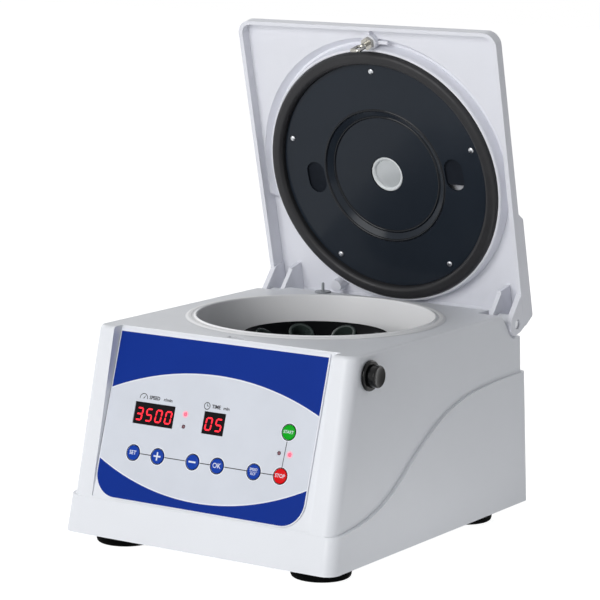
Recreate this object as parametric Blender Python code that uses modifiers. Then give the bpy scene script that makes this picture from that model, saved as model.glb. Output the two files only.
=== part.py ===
"""Benchtop centrifuge with a flip-up lid, an angle rotor and a keypad panel.

Metres, +Z up, front towards -Y. The origin lies under the middle of the
footprint, on the surface that the rubber feet stand on. The lid is shown
open, as far as its hinge lets it go.
"""
import math

import bmesh
import bpy
from mathutils import Matrix

# Driving dimensions: the chamber, and the bands of the body round it.
CHAMBER_RADIUS = 0.1023
BOWL_LIP_WIDTH = 0.0102
BOWL_DEPTH = 0.1080
MOTOR_ROOM = 0.0632
DECK_FRONT_BAND = 0.0300
DECK_SIDE_BAND = 0.0166
HINGE_BEHIND_CHAMBER = 0.01883
REAR_BEHIND_HINGE = 0.02357
FRONT_LEAN = 0.0392
SIDE_LEAN = 0.0059
FRONT_EDGE_Y = -0.166
FOOT_HEIGHT = 0.012
WALL = 0.003
FIT_GAP = 0.0003
OVERRUN = 0.004
JOIN_SET = 0.0001
CHAMBER_CENTRE = FRONT_LEAN + DECK_FRONT_BAND + BOWL_LIP_WIDTH + CHAMBER_RADIUS
HINGE_FROM_FRONT = CHAMBER_CENTRE + CHAMBER_RADIUS + HINGE_BEHIND_CHAMBER
BODY_DEPTH = HINGE_FROM_FRONT + REAR_BEHIND_HINGE
DECK_WIDTH = (CHAMBER_RADIUS + BOWL_LIP_WIDTH + DECK_SIDE_BAND) * 2
BODY_WIDTH = DECK_WIDTH + SIDE_LEAN * 2
BODY_HEIGHT = BOWL_DEPTH + MOTOR_ROOM

# Upper shell above the skirt.
UPPER_INSET = 0.0036
UPPER_REAR_INSET = 0.0025
REAR_LEAN = 0.0065
CORNER_FRONT = 0.0110
CORNER_REAR = 0.0080
DECK_EDGE_RADIUS = 0.003

# Skirt, whose top line sweeps up from the front to the rear.
SKIRT_LOW = 0.0290
SKIRT_TOP_SET = 0.0540
SKIRT_HIGH = BODY_HEIGHT - SKIRT_TOP_SET
SKIRT_MIDDLE = 0.1280
SKIRT_FRONT_SWEEP = 0.060
SKIRT_REAR_SWEEP = 0.069
SKIRT_FRONT_PROUD = 0.0004

# Chamber opening and the bowl that hangs in it.
BOWL_WALL = 0.0020
BOWL_LIP_HEIGHT = 0.0014
BOWL_LIP_STEP = 0.0055
BOWL_DRAFT = 0.0015
BOWL_FLOOR_RADIUS = 0.012
BOWL_SHAFT_HOLE = 0.0125
BOWL_COLLAR_HEIGHT = 0.006

# Sloping panel recess in the front, and the label fixed in it.
PANEL_FRONT_SET = -0.0024
PANEL_TOP_SET = 0.0101
PANEL_SLOPE_RUN = (FRONT_LEAN + PANEL_TOP_SET - PANEL_FRONT_SET) / BODY_HEIGHT
PANEL_SIDE_BAND = 0.0258
PANEL_RECESS_WIDTH = BODY_WIDTH - PANEL_SIDE_BAND * 2
PANEL_LABEL_THICKNESS = 0.0010
PANEL_STRIP = 0.0092
PANEL_LABEL_WIDTH = PANEL_RECESS_WIDTH - PANEL_STRIP
PANEL_LABEL_SHIFT = -0.0040
PANEL_LABEL_LOW = 0.0338
PANEL_LABEL_TOP_SET = 0.0020
PANEL_CORNER_RADIUS = 0.0215

# Keys, lamps and displays, placed up the slope of the panel.
KEY_RADIUS = 0.0061
KEY_PROUD = 0.0007
KEY_CAP = 0.0022
KEY_TRAVEL = 0.0005
KEY_STEM_RADIUS = 0.0025
KEY_ROW_HEIGHT = 0.0743
START_KEY_RISE = 0.0359
START_KEY_HEIGHT = KEY_ROW_HEIGHT + START_KEY_RISE
SET_KEY_INSET = 0.0300
SET_KEY_X = SET_KEY_INSET - PANEL_LABEL_WIDTH / 2
PLUS_KEY_PITCH = 0.0250
PLUS_KEY_X = SET_KEY_X + PLUS_KEY_PITCH
MINUS_KEY_X = -0.0140
OK_KEY_X = 0.0105
MODE_KEY_PITCH = 0.0259
STOP_KEY_INSET = 0.0320
STOP_KEY_X = PANEL_LABEL_WIDTH / 2 - STOP_KEY_INSET
MODE_KEY_X = STOP_KEY_X - MODE_KEY_PITCH
START_KEY_SET = 0.0012
START_KEY_X = STOP_KEY_X + START_KEY_SET
LAMP_RADIUS = 0.0015
SPEED_LAMP_RISE = 0.0276
SPEED_LAMP_PITCH = 0.0104
SPEED_LAMP_LOW = KEY_ROW_HEIGHT + SPEED_LAMP_RISE
SPEED_LAMP_HIGH = SPEED_LAMP_LOW + SPEED_LAMP_PITCH
STOP_LAMP_SET = 0.0048
STOP_LAMP_X = STOP_KEY_X - STOP_LAMP_SET
RUN_LAMP_SET = 0.0055
RUN_LAMP_X = STOP_KEY_X + RUN_LAMP_SET
RUN_LAMP_RISE = 0.0181
RUN_LAMP_HEIGHT = KEY_ROW_HEIGHT + RUN_LAMP_RISE
DISPLAY_HEIGHT = 0.0180
DISPLAY_RISE = 0.0337
DISPLAY_ROW = KEY_ROW_HEIGHT + DISPLAY_RISE
SPEED_DISPLAY_WIDTH = 0.0402
SPEED_DISPLAY_SET = 0.0142
SPEED_DISPLAY_X = SET_KEY_X + SPEED_DISPLAY_SET
SPEED_LAMP_SET = 0.0314
SPEED_LAMP_X = SPEED_DISPLAY_X + SPEED_LAMP_SET
TIME_DISPLAY_WIDTH = 0.0208
TIME_DISPLAY_SET = 0.0292
TIME_DISPLAY_X = SPEED_LAMP_X + TIME_DISPLAY_SET
BOARD_DEPTH = 0.0115
BOARD_THICKNESS = 0.0016
BOARD_SIDE_SET = 0.0126
BOARD_WIDTH = PANEL_LABEL_WIDTH - BOARD_SIDE_SET * 2
BOARD_BELOW_KEYS = 0.0163
BOARD_LOW = KEY_ROW_HEIGHT - BOARD_BELOW_KEYS
BOARD_ABOVE_KEYS = 0.0577
BOARD_HIGH = KEY_ROW_HEIGHT + BOARD_ABOVE_KEYS
BOARD_POST_RADIUS = 0.0035
BOARD_POST_INSET = 0.006

# Rear trench that the lid swings down into, and the hinge lugs in it.
HINGE_DROP = 0.01026
HINGE_HEIGHT = BODY_HEIGHT - HINGE_DROP
TRENCH_UNDER_HINGE = 0.01254
TRENCH_FLOOR = HINGE_HEIGHT - TRENCH_UNDER_HINGE
TRENCH_AHEAD = 0.00383
TRENCH_FRONT = HINGE_FROM_FRONT - TRENCH_AHEAD
NOTCH_CLEARANCE = 0.0010
LUG_RADIUS = 0.0078
HINGE_PIN_RADIUS = 0.0025
HINGE_PIN_SINK = 0.0012
HINGE_PIN_HEAD_RADIUS = 0.0040
HINGE_PIN_HEAD_LENGTH = 0.0016

# Lid, in its own frame: hinge axis at the origin, Z along the lid towards
# its free edge, Y out through its back. The rim plane lies behind the axis.
LID_LEAN_DEGREES = 13.94
LID_OVERHANG = 0.0027
LID_HALF_WIDTH = DECK_WIDTH / 2 + LID_OVERHANG
LID_SHORT = 0.00313
LID_LENGTH = HINGE_FROM_FRONT - FRONT_LEAN - LID_SHORT
LID_RIM_SET = 0.0111
LID_BACK_THIN = 0.0229
LID_BACK_THICK = 0.0297
LID_SKIN = 0.0024
LID_SIDE_WALL = 0.0040
LID_TAIL = 0.0088
LID_TAIL_BACK = 0.0054
LID_TAIL_WALL = 0.0030
LID_TAIL_RADIUS = 0.0042
LID_STEP_AT = 0.0880
LID_CORNER_RADIUS = 0.0120
LID_EDGE_RADIUS = 0.0030
LID_CENTRE_SET = 0.00063
LID_CENTRE = HINGE_FROM_FRONT - CHAMBER_CENTRE - LID_CENTRE_SET
GASKET_SET = 0.0022
GASKET_WIDTH = 0.0114
GASKET_INNER = CHAMBER_RADIUS + GASKET_SET
GASKET_OUTER = GASKET_INNER + GASKET_WIDTH
LID_RECESS_GAP = 0.0116
LID_RECESS_RADIUS = GASKET_OUTER + LID_RECESS_GAP
LID_DOME_WALL = 0.0028
LID_DOME_RADIUS = LID_RECESS_RADIUS + LID_DOME_WALL
LID_DOME_TAPER = 0.0055
LID_DOME_TOP_RADIUS = LID_DOME_RADIUS - LID_DOME_TAPER
LID_DOME_SINK = 0.0009
LID_RECESS_TAPER = 0.0050
LID_RECESS_FLOOR_RADIUS = LID_RECESS_RADIUS - LID_RECESS_TAPER
LID_END_WALL = 0.0032
ARM_NOSE_RADIUS = 0.0106
ARM_NOSE_RISE = 0.0005
ARM_NOSE_FORWARD = 0.0012
ARM_FRONT_RISE = 0.0229
ARM_OUTER_WALL = 0.0050
NOTCH_WIDTH = 0.0270
NOTCH_INNER_X = LID_HALF_WIDTH - NOTCH_WIDTH
ARM_RIB_GAP = 0.0032
ARM_RIB_INNER_X = NOTCH_INNER_X + ARM_RIB_GAP
ARM_RIB_WIDTH = 0.0040
LUG_SIDE_GAP = 0.0016
LUG_INNER_X = ARM_RIB_INNER_X + ARM_RIB_WIDTH + LUG_SIDE_GAP
LUG_OUTER_X = LID_HALF_WIDTH - ARM_OUTER_WALL - LUG_SIDE_GAP
ARM_RIB_REACH = 0.0245
LINER_BOSS_RADIUS = 0.0040
SIGHT_HOLE_RADIUS = 0.0160
STRIKER_BOSS_RADIUS = 0.0070
STRIKER_RIB_WIDTH = 0.0022
SWITCH_BOSS_RADIUS = 0.0055
SWITCH_BOSS_RISE = 0.0103
SWITCH_BOSS_TIP = 0.0140

# Liner, gasket and window inside the lid.
GASKET_TOP_SET = 0.0120
GASKET_ROUND = 0.0042
LINER_FLANGE_SET = 0.0185
LINER_THICKNESS = 0.0016
LINER_SKIRT = 0.0022
LINER_RECESS_OUTER = 0.0610
LINER_RECESS_INNER = 0.0545
LINER_RECESS_SET = 0.0225
LINER_EYE_RADIUS = 0.0163
LINER_COLLAR = 0.0018
LINER_SLOT_LENGTH = 0.0290
LINER_SLOT_WIDTH = 0.0185
LINER_SLOT_RADIUS = 0.0726
LINER_SLOT_TURN_DEGREES = 5.2
LINER_SCREW_SET = 0.0071
LINER_SCREW_CIRCLE = GASKET_INNER - LINER_SCREW_SET
LINER_SCREW_COUNT = 5
LINER_SCREW_START_DEGREES = 18.6
LINER_SCREW_HEAD = 0.0027
LINER_SCREW_DOME = 0.0016
LINER_SCREW_SHANK = 0.0013
LINER_SCREW_LENGTH = 0.0060
WINDOW_RADIUS = 0.0180
WINDOW_THICKNESS = 0.0020

# Striker hook on the lid and the catch under the deck.
STRIKER_X = 0.0025
STRIKER_BEHIND_EDGE = 0.0183
STRIKER_FROM_FRONT = FRONT_LEAN + STRIKER_BEHIND_EDGE
STRIKER_NUT_RADIUS = 0.0058
STRIKER_NUT = 0.0035
STRIKER_NECK_RADIUS = 0.0022
STRIKER_WIRE = 0.0015
STRIKER_HALF_WIDTH = 0.0040
STRIKER_BAR = 0.0085
STRIKER_ARCH = 0.0005
STRIKER_BEND = 0.0015
STRIKER_BOSS_SET = 0.0034
STRIKER_BOSS_TOP = LID_RIM_SET + STRIKER_BOSS_SET
DECK_SLOT_LENGTH = 0.0145
DECK_SLOT_WIDTH = 0.0052

# Release button on the right side, with its slider to the catch.
RELEASE_BEHIND_STRIKER = 0.0032
RELEASE_FROM_FRONT = STRIKER_FROM_FRONT + RELEASE_BEHIND_STRIKER
RELEASE_RISE = 0.00106
RELEASE_HEIGHT = HINGE_HEIGHT - STRIKER_BAR + RELEASE_RISE
RELEASE_FLANGE_RADIUS = 0.0126
RELEASE_FLANGE = 0.0030
RELEASE_BARREL_RADIUS = 0.0108
RELEASE_BARREL = 0.0090
RELEASE_BUTTON_RADIUS = 0.0092
RELEASE_BUTTON_PROUD = 0.0072
RELEASE_DISH = 0.0018
RELEASE_BORE_GAP = 0.0002
RELEASE_TRAVEL = 0.0045
RELEASE_STOP_RADIUS = 0.0103
RELEASE_STOP = 0.0022
RELEASE_STOP_GAP = 0.0004
LATCH_THICKNESS = 0.0030
LATCH_ROD_WIDTH = 0.0046
LATCH_ROD_BEHIND = 0.0012
LATCH_TONGUE = 0.0030
LATCH_TONGUE_PAST = 0.0008
LATCH_BODY_WIDTH = LATCH_TONGUE + (RELEASE_TRAVEL + FIT_GAP + LATCH_ROD_WIDTH) * 2
LATCH_BODY_LENGTH = 0.0090
LATCH_WALL = 0.0016
LATCH_PLATE_MARGIN = 0.0040

# Switch pin on the deck that the closing lid presses.
SWITCH_PIN_X = -0.0640
SWITCH_PIN_RADIUS = 0.0013
SWITCH_PIN_HEIGHT = 0.0092
SWITCH_PIN_TRAVEL = 0.0058
SWITCH_BUSH_RADIUS = 0.0076
SWITCH_BUSH_FLANGE = 0.0012
SWITCH_BUSH_BARREL = 0.0038
SWITCH_BUSH_LENGTH = 0.0060
SWITCH_COLLAR_RADIUS = 0.0026
SWITCH_COLLAR = 0.0016
SWITCH_BODY_LENGTH = 0.0198
SWITCH_BODY_WIDTH = 0.0104
SWITCH_BODY_HEIGHT = 0.0064
SWITCH_POST = 0.0030

# Rotor: a dished head on a cone, with sleeves that lean outwards.
ROTOR_SIDE_GAP = 0.0393
ROTOR_RIM_RADIUS = CHAMBER_RADIUS - ROTOR_SIDE_GAP
ROTOR_RIM_DROP = 0.0150
ROTOR_LEAN_DEGREES = 36.0
ROTOR_THICKNESS = 0.0220
ROTOR_RIM_ROUND = 0.0012
ROTOR_HUB_RADIUS = 0.0150
ROTOR_HUB_RISE = 0.0030
ROTOR_HUB_BELOW = 0.0060
SLEEVE_COUNT = 8
SLEEVE_RIM_SET = 0.0130
SLEEVE_CIRCLE = ROTOR_RIM_RADIUS - SLEEVE_RIM_SET
SLEEVE_BORE = 0.0085
SLEEVE_WALL = 0.0012
SLEEVE_LIP = 0.0113
SLEEVE_LIP_HEIGHT = 0.0026
SLEEVE_LENGTH = 0.0620
SLEEVE_TURN_DEGREES = 2.6
SHAFT_RADIUS = 0.0050
SHAFT_TOP_RISE = 0.0020
SHAFT_IN_MOTOR = 0.0200
NUT_RADIUS = 0.0115
NUT_HEIGHT = 0.0120

# Motor and its soft mounting.
MOTOR_RADIUS = 0.0420
MOTOR_BOSS_RADIUS = 0.0140
MOTOR_BOSS_HEIGHT = 0.0040
MOTOR_TOP_GAP = 0.0022
MOTOR_HIGH = MOTOR_ROOM - BOWL_WALL - MOTOR_TOP_GAP - MOTOR_BOSS_HEIGHT
MOTOR_FLANGE_RADIUS = 0.0500
MOTOR_FLANGE = 0.0030
MOTOR_PLATE_RADIUS = 0.0680
MOTOR_PLATE = 0.0030
MOTOR_PLATE_LOW = 0.0180
DAMPER_RADIUS = 0.0090
DAMPER_WAIST = 0.0072
DAMPER_CIRCLE = 0.0575
DAMPER_COUNT = 3

# Base plate and feet.
BASE_PLATE = 0.0020
FOOT_RADIUS = 0.0244
FOOT_BOTTOM_RADIUS = 0.0225
FOOT_EDGE = 0.0040
FOOT_SIDE_SET = 0.0365
FOOT_X = BODY_WIDTH / 2 - FOOT_SIDE_SET
FOOT_FRONT = 0.0410
FOOT_REAR_SET = 0.0544
FOOT_REAR = BODY_DEPTH - FOOT_REAR_SET

# Mains inlet and rocker switch on the rear wall.
INLET_X = -0.060
INLET_HEIGHT = 0.060
INLET_WIDTH = 0.0300
INLET_TALL = 0.0220
INLET_FLANGE_WIDTH = 0.0500
INLET_FLANGE_TALL = 0.0280
INLET_FLANGE = 0.0024
INLET_BODY = 0.0200
INLET_SOCKET_WIDTH = 0.0240
INLET_SOCKET_TALL = 0.0165
INLET_SOCKET_DEPTH = 0.0150
INLET_PIN_WIDTH = 0.0020
INLET_PIN_TALL = 0.0045
INLET_PIN_PITCH = 0.0070
INLET_PIN_SHORT = 0.0030
ROCKER_X = -0.010
ROCKER_FRAME_WIDTH = 0.0210
ROCKER_FRAME_TALL = 0.0150
ROCKER_FRAME_LIP = 0.0020
ROCKER_FRAME_WALL = 0.0018
ROCKER_BODY = 0.0160
ROCKER_SWING_DEGREES = 12.0
ROCKER_PROUD = 0.0030
ROCKER_GAP = 0.0006
ROCKER_BACK_RADIUS = 0.0050
VENT_COUNT = 6
VENT_X = 0.060
VENT_LENGTH = 0.0400
VENT_WIDTH = 0.0030
VENT_PITCH = 0.0080
VENT_LOW = 0.0450

# Smoothness of round pieces.
FINE_STEPS = 64
ROUND_STEPS = 32
SMALL_STEPS = 20
TINY_STEPS = 12
SLEEVE_STEPS = 16
WELD = 0.00001

# Derived places.
UNDERSIDE = FOOT_HEIGHT
DECK_Z = UNDERSIDE + BODY_HEIGHT
HINGE_Y = FRONT_EDGE_Y + HINGE_FROM_FRONT
HINGE_Z = UNDERSIDE + HINGE_HEIGHT
CHAMBER_Y = FRONT_EDGE_Y + CHAMBER_CENTRE
LID_LEAN = math.radians(LID_LEAN_DEGREES)
PANEL_LEAN = math.atan(PANEL_SLOPE_RUN)
ROTOR_LEAN = math.radians(ROTOR_LEAN_DEGREES)
LIP_TOP = DECK_Z + BOWL_LIP_HEIGHT
ROTOR_RIM_Z = DECK_Z - ROTOR_RIM_DROP
BOWL_FLOOR_Z = DECK_Z - BOWL_DEPTH

for old in list(bpy.data.objects):
    bpy.data.objects.remove(old)

PARTS = bpy.data.collections.new("centrifuge")
CUTTERS = bpy.data.collections.new("centrifuge_cutters")
bpy.context.scene.collection.children.link(PARTS)
bpy.context.scene.collection.children.link(CUTTERS)


def material(name, colour, roughness, metallic=0.0):
    mat = bpy.data.materials.new(name)
    mat.use_nodes = True
    shader = mat.node_tree.nodes["Principled BSDF"]
    shader.inputs["Base Color"].default_value = (*colour, 1.0)
    shader.inputs["Roughness"].default_value = roughness
    shader.inputs["Metallic"].default_value = metallic
    mat.diffuse_color = (*colour, 1.0)
    return mat


def face_out(bm):
    """Turn the faces of a closed shape outwards."""
    bmesh.ops.recalc_face_normals(bm, faces=bm.faces)
    if bm.calc_volume(signed=True) < 0.0:
        bmesh.ops.reverse_faces(bm, faces=bm.faces)


def from_bmesh(name, bm, mat=None, parent=None):
    """Make an object of a bmesh: a part if it has a material, else a cutter."""
    face_out(bm)
    mesh = bpy.data.meshes.new(name)
    bm.to_mesh(mesh)
    bm.free()
    return from_mesh(name, mesh, mat, parent)


def from_mesh(name, mesh, mat=None, parent=None):
    obj = bpy.data.objects.new(name, mesh)
    obj.parent = parent
    if mat is None:
        CUTTERS.objects.link(obj)
        obj.hide_render = True
        obj.display_type = "WIRE"
        return obj
    PARTS.objects.link(obj)
    mesh.materials.clear()
    mesh.materials.append(mat)
    return obj


def empty(name, location, lean=0.0):
    obj = bpy.data.objects.new(name, None)
    obj.location = location
    obj.rotation_euler.x = lean
    PARTS.objects.link(obj)
    return obj


def add_box(bm, low, high):
    """Add an upright box between two corners to a bmesh."""
    size = [b - a for a, b in zip(low, high)]
    middle = [(a + b) / 2 for a, b in zip(low, high)]
    grow = Matrix.Translation(middle) @ Matrix.Diagonal((*size, 1.0))
    return bmesh.ops.create_cube(bm, size=1.0, matrix=grow)["verts"]


def box(name, low, high, mat=None, parent=None, round_edges=0.0):
    bm = bmesh.new()
    add_box(bm, low, high)
    if round_edges:
        bmesh.ops.bevel(bm, geom=bm.edges[:], offset=round_edges, segments=2, profile=0.5, affect="EDGES")
    return from_bmesh(name, bm, mat, parent)


TURNS = {
    "X": Matrix.Rotation(math.pi / 2, 4, "Y"),
    "Y": Matrix.Rotation(-math.pi / 2, 4, "X"),
    "Z": Matrix(),
}


def add_rod(bm, radius, start, end, axis="Z", steps=ROUND_STEPS):
    """Add a cylinder between two points that differ along one axis."""
    index = "XYZ".index(axis)
    middle = [(a + b) / 2 for a, b in zip(start, end)]
    place = Matrix.Translation(middle) @ TURNS[axis]
    bmesh.ops.create_cone(bm, cap_ends=True, segments=steps, radius1=radius, radius2=radius,
                          depth=abs(end[index] - start[index]), matrix=place)


def rod(name, radius, start, end, axis="Z", steps=ROUND_STEPS, mat=None, parent=None):
    bm = bmesh.new()
    add_rod(bm, radius, start, end, axis, steps)
    return from_bmesh(name, bm, mat, parent)


def circle(radius, steps, x=0.0, y=0.0):
    turn = math.tau / steps
    return [(x + radius * math.cos(i * turn), y + radius * math.sin(i * turn)) for i in range(steps)]


def arc(radius, start, end, steps, x=0.0, y=0.0):
    """Points of an arc between two angles in degrees, both ends included."""
    first = math.radians(start)
    turn = math.radians(end - start) / steps
    return [(x + radius * math.cos(first + i * turn), y + radius * math.sin(first + i * turn))
            for i in range(steps + 1)]


PLANES = {
    "XY": Matrix(((1, 0, 0, 0), (0, 1, 0, 0), (0, 0, 1, 0), (0, 0, 0, 1))),
    "XZ": Matrix(((1, 0, 0, 0), (0, 0, -1, 0), (0, 1, 0, 0), (0, 0, 0, 1))),
    "YZ": Matrix(((0, 0, 1, 0), (1, 0, 0, 0), (0, 1, 0, 0), (0, 0, 0, 1))),
}


def plate_mesh(name, loops, start, end, plane):
    """Extrude outlines in a plane between two places across it."""
    curve = bpy.data.curves.new(name, "CURVE")
    curve.dimensions = "2D"
    curve.fill_mode = "BOTH"
    curve.extrude = abs(end - start) / 2
    for loop in loops:
        spline = curve.splines.new("POLY")
        spline.points.add(len(loop) - 1)
        for point, (a, b) in zip(spline.points, loop):
            point.co = (a, b, 0.0, 1.0)
        spline.use_cyclic_u = True
    guide = bpy.data.objects.new(name + "_outline", curve)
    bpy.context.scene.collection.objects.link(guide)
    graph = bpy.context.evaluated_depsgraph_get()
    mesh = bpy.data.meshes.new_from_object(guide.evaluated_get(graph))
    middle = (start + end) / 2
    if plane == "XZ":
        middle = -middle
    mesh.transform(PLANES[plane] @ Matrix.Translation((0.0, 0.0, middle)))
    bpy.data.objects.remove(guide)
    bm = bmesh.new()
    bm.from_mesh(mesh)
    bmesh.ops.remove_doubles(bm, verts=bm.verts, dist=WELD)
    face_out(bm)
    bm.to_mesh(mesh)
    bm.free()
    mesh.name = name
    return mesh


def plate(name, loops, start, end, plane, mat=None, parent=None):
    return from_mesh(name, plate_mesh(name, loops, start, end, plane), mat, parent)


def turned(name, profile, steps, mat=None, parent=None, ring=False):
    """Turn a profile of radius and height round Z, from its top to its bottom."""
    bm = bmesh.new()
    verts = [bm.verts.new((r, 0.0, z)) for r, z in profile]
    for a, b in zip(verts, verts[1:]):
        bm.edges.new((a, b))
    if ring:
        bm.edges.new((verts[-1], verts[0]))
    mesh = bpy.data.meshes.new(name)
    bm.to_mesh(mesh)
    bm.free()
    obj = from_mesh(name, mesh, mat, parent)
    screw = obj.modifiers.new("turn", "SCREW")
    screw.axis = "Z"
    screw.steps = steps
    screw.render_steps = steps
    screw.use_merge_vertices = True
    screw.merge_threshold = WELD
    screw.use_smooth_shade = True
    return obj


def combine(obj, other, operation="DIFFERENCE"):
    """Cut, join or intersect one object with another that becomes a cutter."""
    mod = obj.modifiers.new(other.name, "BOOLEAN")
    mod.operation = operation
    mod.solver = "EXACT"
    mod.object = other
    return obj


def smooth(obj, degrees=35.0):
    obj.data.shade_smooth()
    obj.data.set_sharp_from_angle(angle=math.radians(degrees))
    return obj


WHITE_SHELL = material("white_shell", (0.80, 0.81, 0.83), 0.38)
LID_WHITE = material("lid_white", (0.80, 0.81, 0.83), 0.38)
BOWL_WHITE = material("bowl_white", (0.78, 0.76, 0.76), 0.35)
LABEL = material("panel_label", (0.62, 0.67, 0.73), 0.45)
KEY_BLUE = material("key_blue", (0.015, 0.05, 0.45), 0.40)
KEY_GREEN = material("key_green", (0.02, 0.55, 0.02), 0.40)
KEY_RED = material("key_red", (0.75, 0.01, 0.01), 0.40)
LAMP_RED = material("lamp_red", (0.9, 0.05, 0.05), 0.25)
LAMP_DARK = material("lamp_dark", (0.05, 0.05, 0.06), 0.25)
DISPLAY_BLACK = material("display_black", (0.01, 0.01, 0.01), 0.15)
BOARD_GREEN = material("board_green", (0.02, 0.18, 0.06), 0.50)
LINER_DARK = material("liner_dark", (0.030, 0.040, 0.050), 0.30)
RUBBER = material("rubber_black", (0.020, 0.020, 0.020), 0.80)
GASKET_RUBBER = material("gasket_rubber", (0.045, 0.045, 0.047), 0.60)
STEEL = material("bright_steel", (0.62, 0.62, 0.63), 0.22, 1.0)
ZINC = material("zinc_sheet", (0.55, 0.56, 0.58), 0.40, 1.0)
BLACK_PLASTIC = material("black_plastic", (0.012, 0.012, 0.013), 0.30)
ROTOR_BLACK = material("rotor_black", (0.012, 0.012, 0.014), 0.35)
SLEEVE_BLACK = material("sleeve_black", (0.020, 0.020, 0.022), 0.30)
MOTOR_GREY = material("motor_grey", (0.25, 0.26, 0.27), 0.45, 0.8)
CLEAR = material("clear_window", (0.85, 0.87, 0.88), 0.08)
ROCKER_BLACK = material("rocker_black", (0.010, 0.010, 0.010), 0.35)


def from_front(distance):
    return FRONT_EDGE_Y + distance


def above_base(height):
    return UNDERSIDE + height


def add_tapered_box(bm, half_low, half_high, front, rear, z_low, z_high):
    """Add a box whose lower and upper faces differ, then round its corners.

    front and rear each give the place at the bottom and at the top.
    """
    verts = bmesh.ops.create_cube(bm, size=1.0)["verts"]
    for vert in verts:
        top = vert.co.z > 0.0
        half = half_high if top else half_low
        side = front if vert.co.y < 0.0 else rear
        vert.co = (math.copysign(half, vert.co.x), side[1] if top else side[0], z_high if top else z_low)
    return verts


def level_edges(bm, height):
    return [e for e in bm.edges if all(abs(v.co.z - height) < WELD for v in e.verts)]


def upright_edges(bm, z_low, z_high, rear):
    """The two front or the two rear corner edges of a tapered box."""
    middle = sum(v.co.y for v in bm.verts) / len(bm.verts)
    tall = [e for e in bm.edges if abs(e.verts[0].co.z - e.verts[1].co.z) > (z_high - z_low) / 2]
    return [e for e in tall if (e.verts[0].co.y > middle) == rear]


def rounded_shell(name, halves, front, rear, heights, inset=0.0, top_radius=0.0, mat=None):
    """Tapered box with rounded corners; inset draws the corner radii in for a hollow."""
    z_low, z_high = heights
    bm = bmesh.new()
    add_tapered_box(bm, halves[0], halves[1], front, rear, z_low, z_high)
    bmesh.ops.bevel(bm, geom=upright_edges(bm, z_low, z_high, False), offset=CORNER_FRONT - inset,
                    segments=5, profile=0.5, affect="EDGES")
    bmesh.ops.bevel(bm, geom=upright_edges(bm, z_low, z_high, True)[-2:], offset=CORNER_REAR - inset,
                    segments=5, profile=0.5, affect="EDGES")
    if top_radius:
        bmesh.ops.bevel(bm, geom=level_edges(bm, z_high), offset=top_radius,
                        segments=3, profile=0.5, affect="EDGES")
    return from_bmesh(name, bm, mat)


def skirt_height(distance):
    """Height of the skirt's top line at a distance from the front edge."""
    middle = (SKIRT_LOW + SKIRT_HIGH) / 2
    sweep = SKIRT_FRONT_SWEEP if distance < SKIRT_MIDDLE else SKIRT_REAR_SWEEP
    return middle + (SKIRT_HIGH - SKIRT_LOW) / 2 * math.tanh((distance - SKIRT_MIDDLE) / sweep)


def skirt_prism():
    ahead = -CORNER_FRONT
    behind = BODY_DEPTH + CORNER_REAR
    steps = 20
    line = [ahead + (behind - ahead) * i / steps for i in range(steps + 1)]
    loop = [(from_front(d), above_base(skirt_height(d))) for d in line]
    loop.append((from_front(behind), UNDERSIDE - OVERRUN))
    loop.append((from_front(ahead), UNDERSIDE - OVERRUN))
    return plate("skirt_prism", [loop], -BODY_WIDTH, BODY_WIDTH, "YZ")


def skirt_half_width(height):
    taper = (BODY_WIDTH - DECK_WIDTH) / 2 - UPPER_INSET / 2
    return BODY_WIDTH / 2 - taper * height / BODY_HEIGHT


def upper_half_width(height):
    low = BODY_WIDTH / 2 - UPPER_INSET
    return low + (DECK_WIDTH / 2 - low) * height / BODY_HEIGHT


def make_skirt():
    """Wider lower part of the shell, cut off along its sweeping top line."""
    top = SKIRT_HIGH + CORNER_FRONT
    lean = FRONT_LEAN * top / BODY_HEIGHT
    rear = REAR_LEAN * top / BODY_HEIGHT
    skirt = rounded_shell("skirt_solid", (skirt_half_width(0.0), skirt_half_width(top)),
                          (from_front(-SKIRT_FRONT_PROUD), from_front(lean - SKIRT_FRONT_PROUD)),
                          (from_front(BODY_DEPTH), from_front(BODY_DEPTH - rear)),
                          (UNDERSIDE, above_base(top)))
    return combine(skirt, skirt_prism(), "INTERSECT")


def make_housing():
    rear = BODY_DEPTH - UPPER_REAR_INSET
    housing = rounded_shell("housing", (upper_half_width(0.0), DECK_WIDTH / 2),
                            (from_front(0.0), from_front(FRONT_LEAN)),
                            (from_front(rear), from_front(rear - REAR_LEAN)),
                            (UNDERSIDE, DECK_Z), 0.0, DECK_EDGE_RADIUS, WHITE_SHELL)
    combine(housing, make_skirt(), "UNION")
    for cutter in housing_hollows():
        combine(housing, cutter)
    combine(housing, rear_trench())
    combine(housing, rear_notches())
    combine(housing, hinge_lugs(), "UNION")
    combine(housing, board_posts(), "UNION")
    combine(housing, panel_recess())
    combine(housing, deck_openings())
    combine(housing, panel_openings())
    combine(housing, side_opening())
    combine(housing, rear_openings())
    combine(housing, hinge_pin_holes())
    return smooth(housing)


def panel_y(height):
    """Place of the panel's face, from the front edge, at a height."""
    return PANEL_FRONT_SET + PANEL_SLOPE_RUN * height


def front_room_y(height):
    """Inner face of the front wall, which thickens a little downwards."""
    thick = WALL / math.cos(PANEL_LEAN) + PANEL_LABEL_THICKNESS + FIT_GAP
    return panel_y(height) + thick + WALL * (BODY_HEIGHT - height) / BODY_HEIGHT


def notch_front():
    """Front face of the wall between the main room and the hinge notches."""
    return HINGE_FROM_FRONT - ARM_FRONT_RISE - NOTCH_CLEARANCE - WALL


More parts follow.
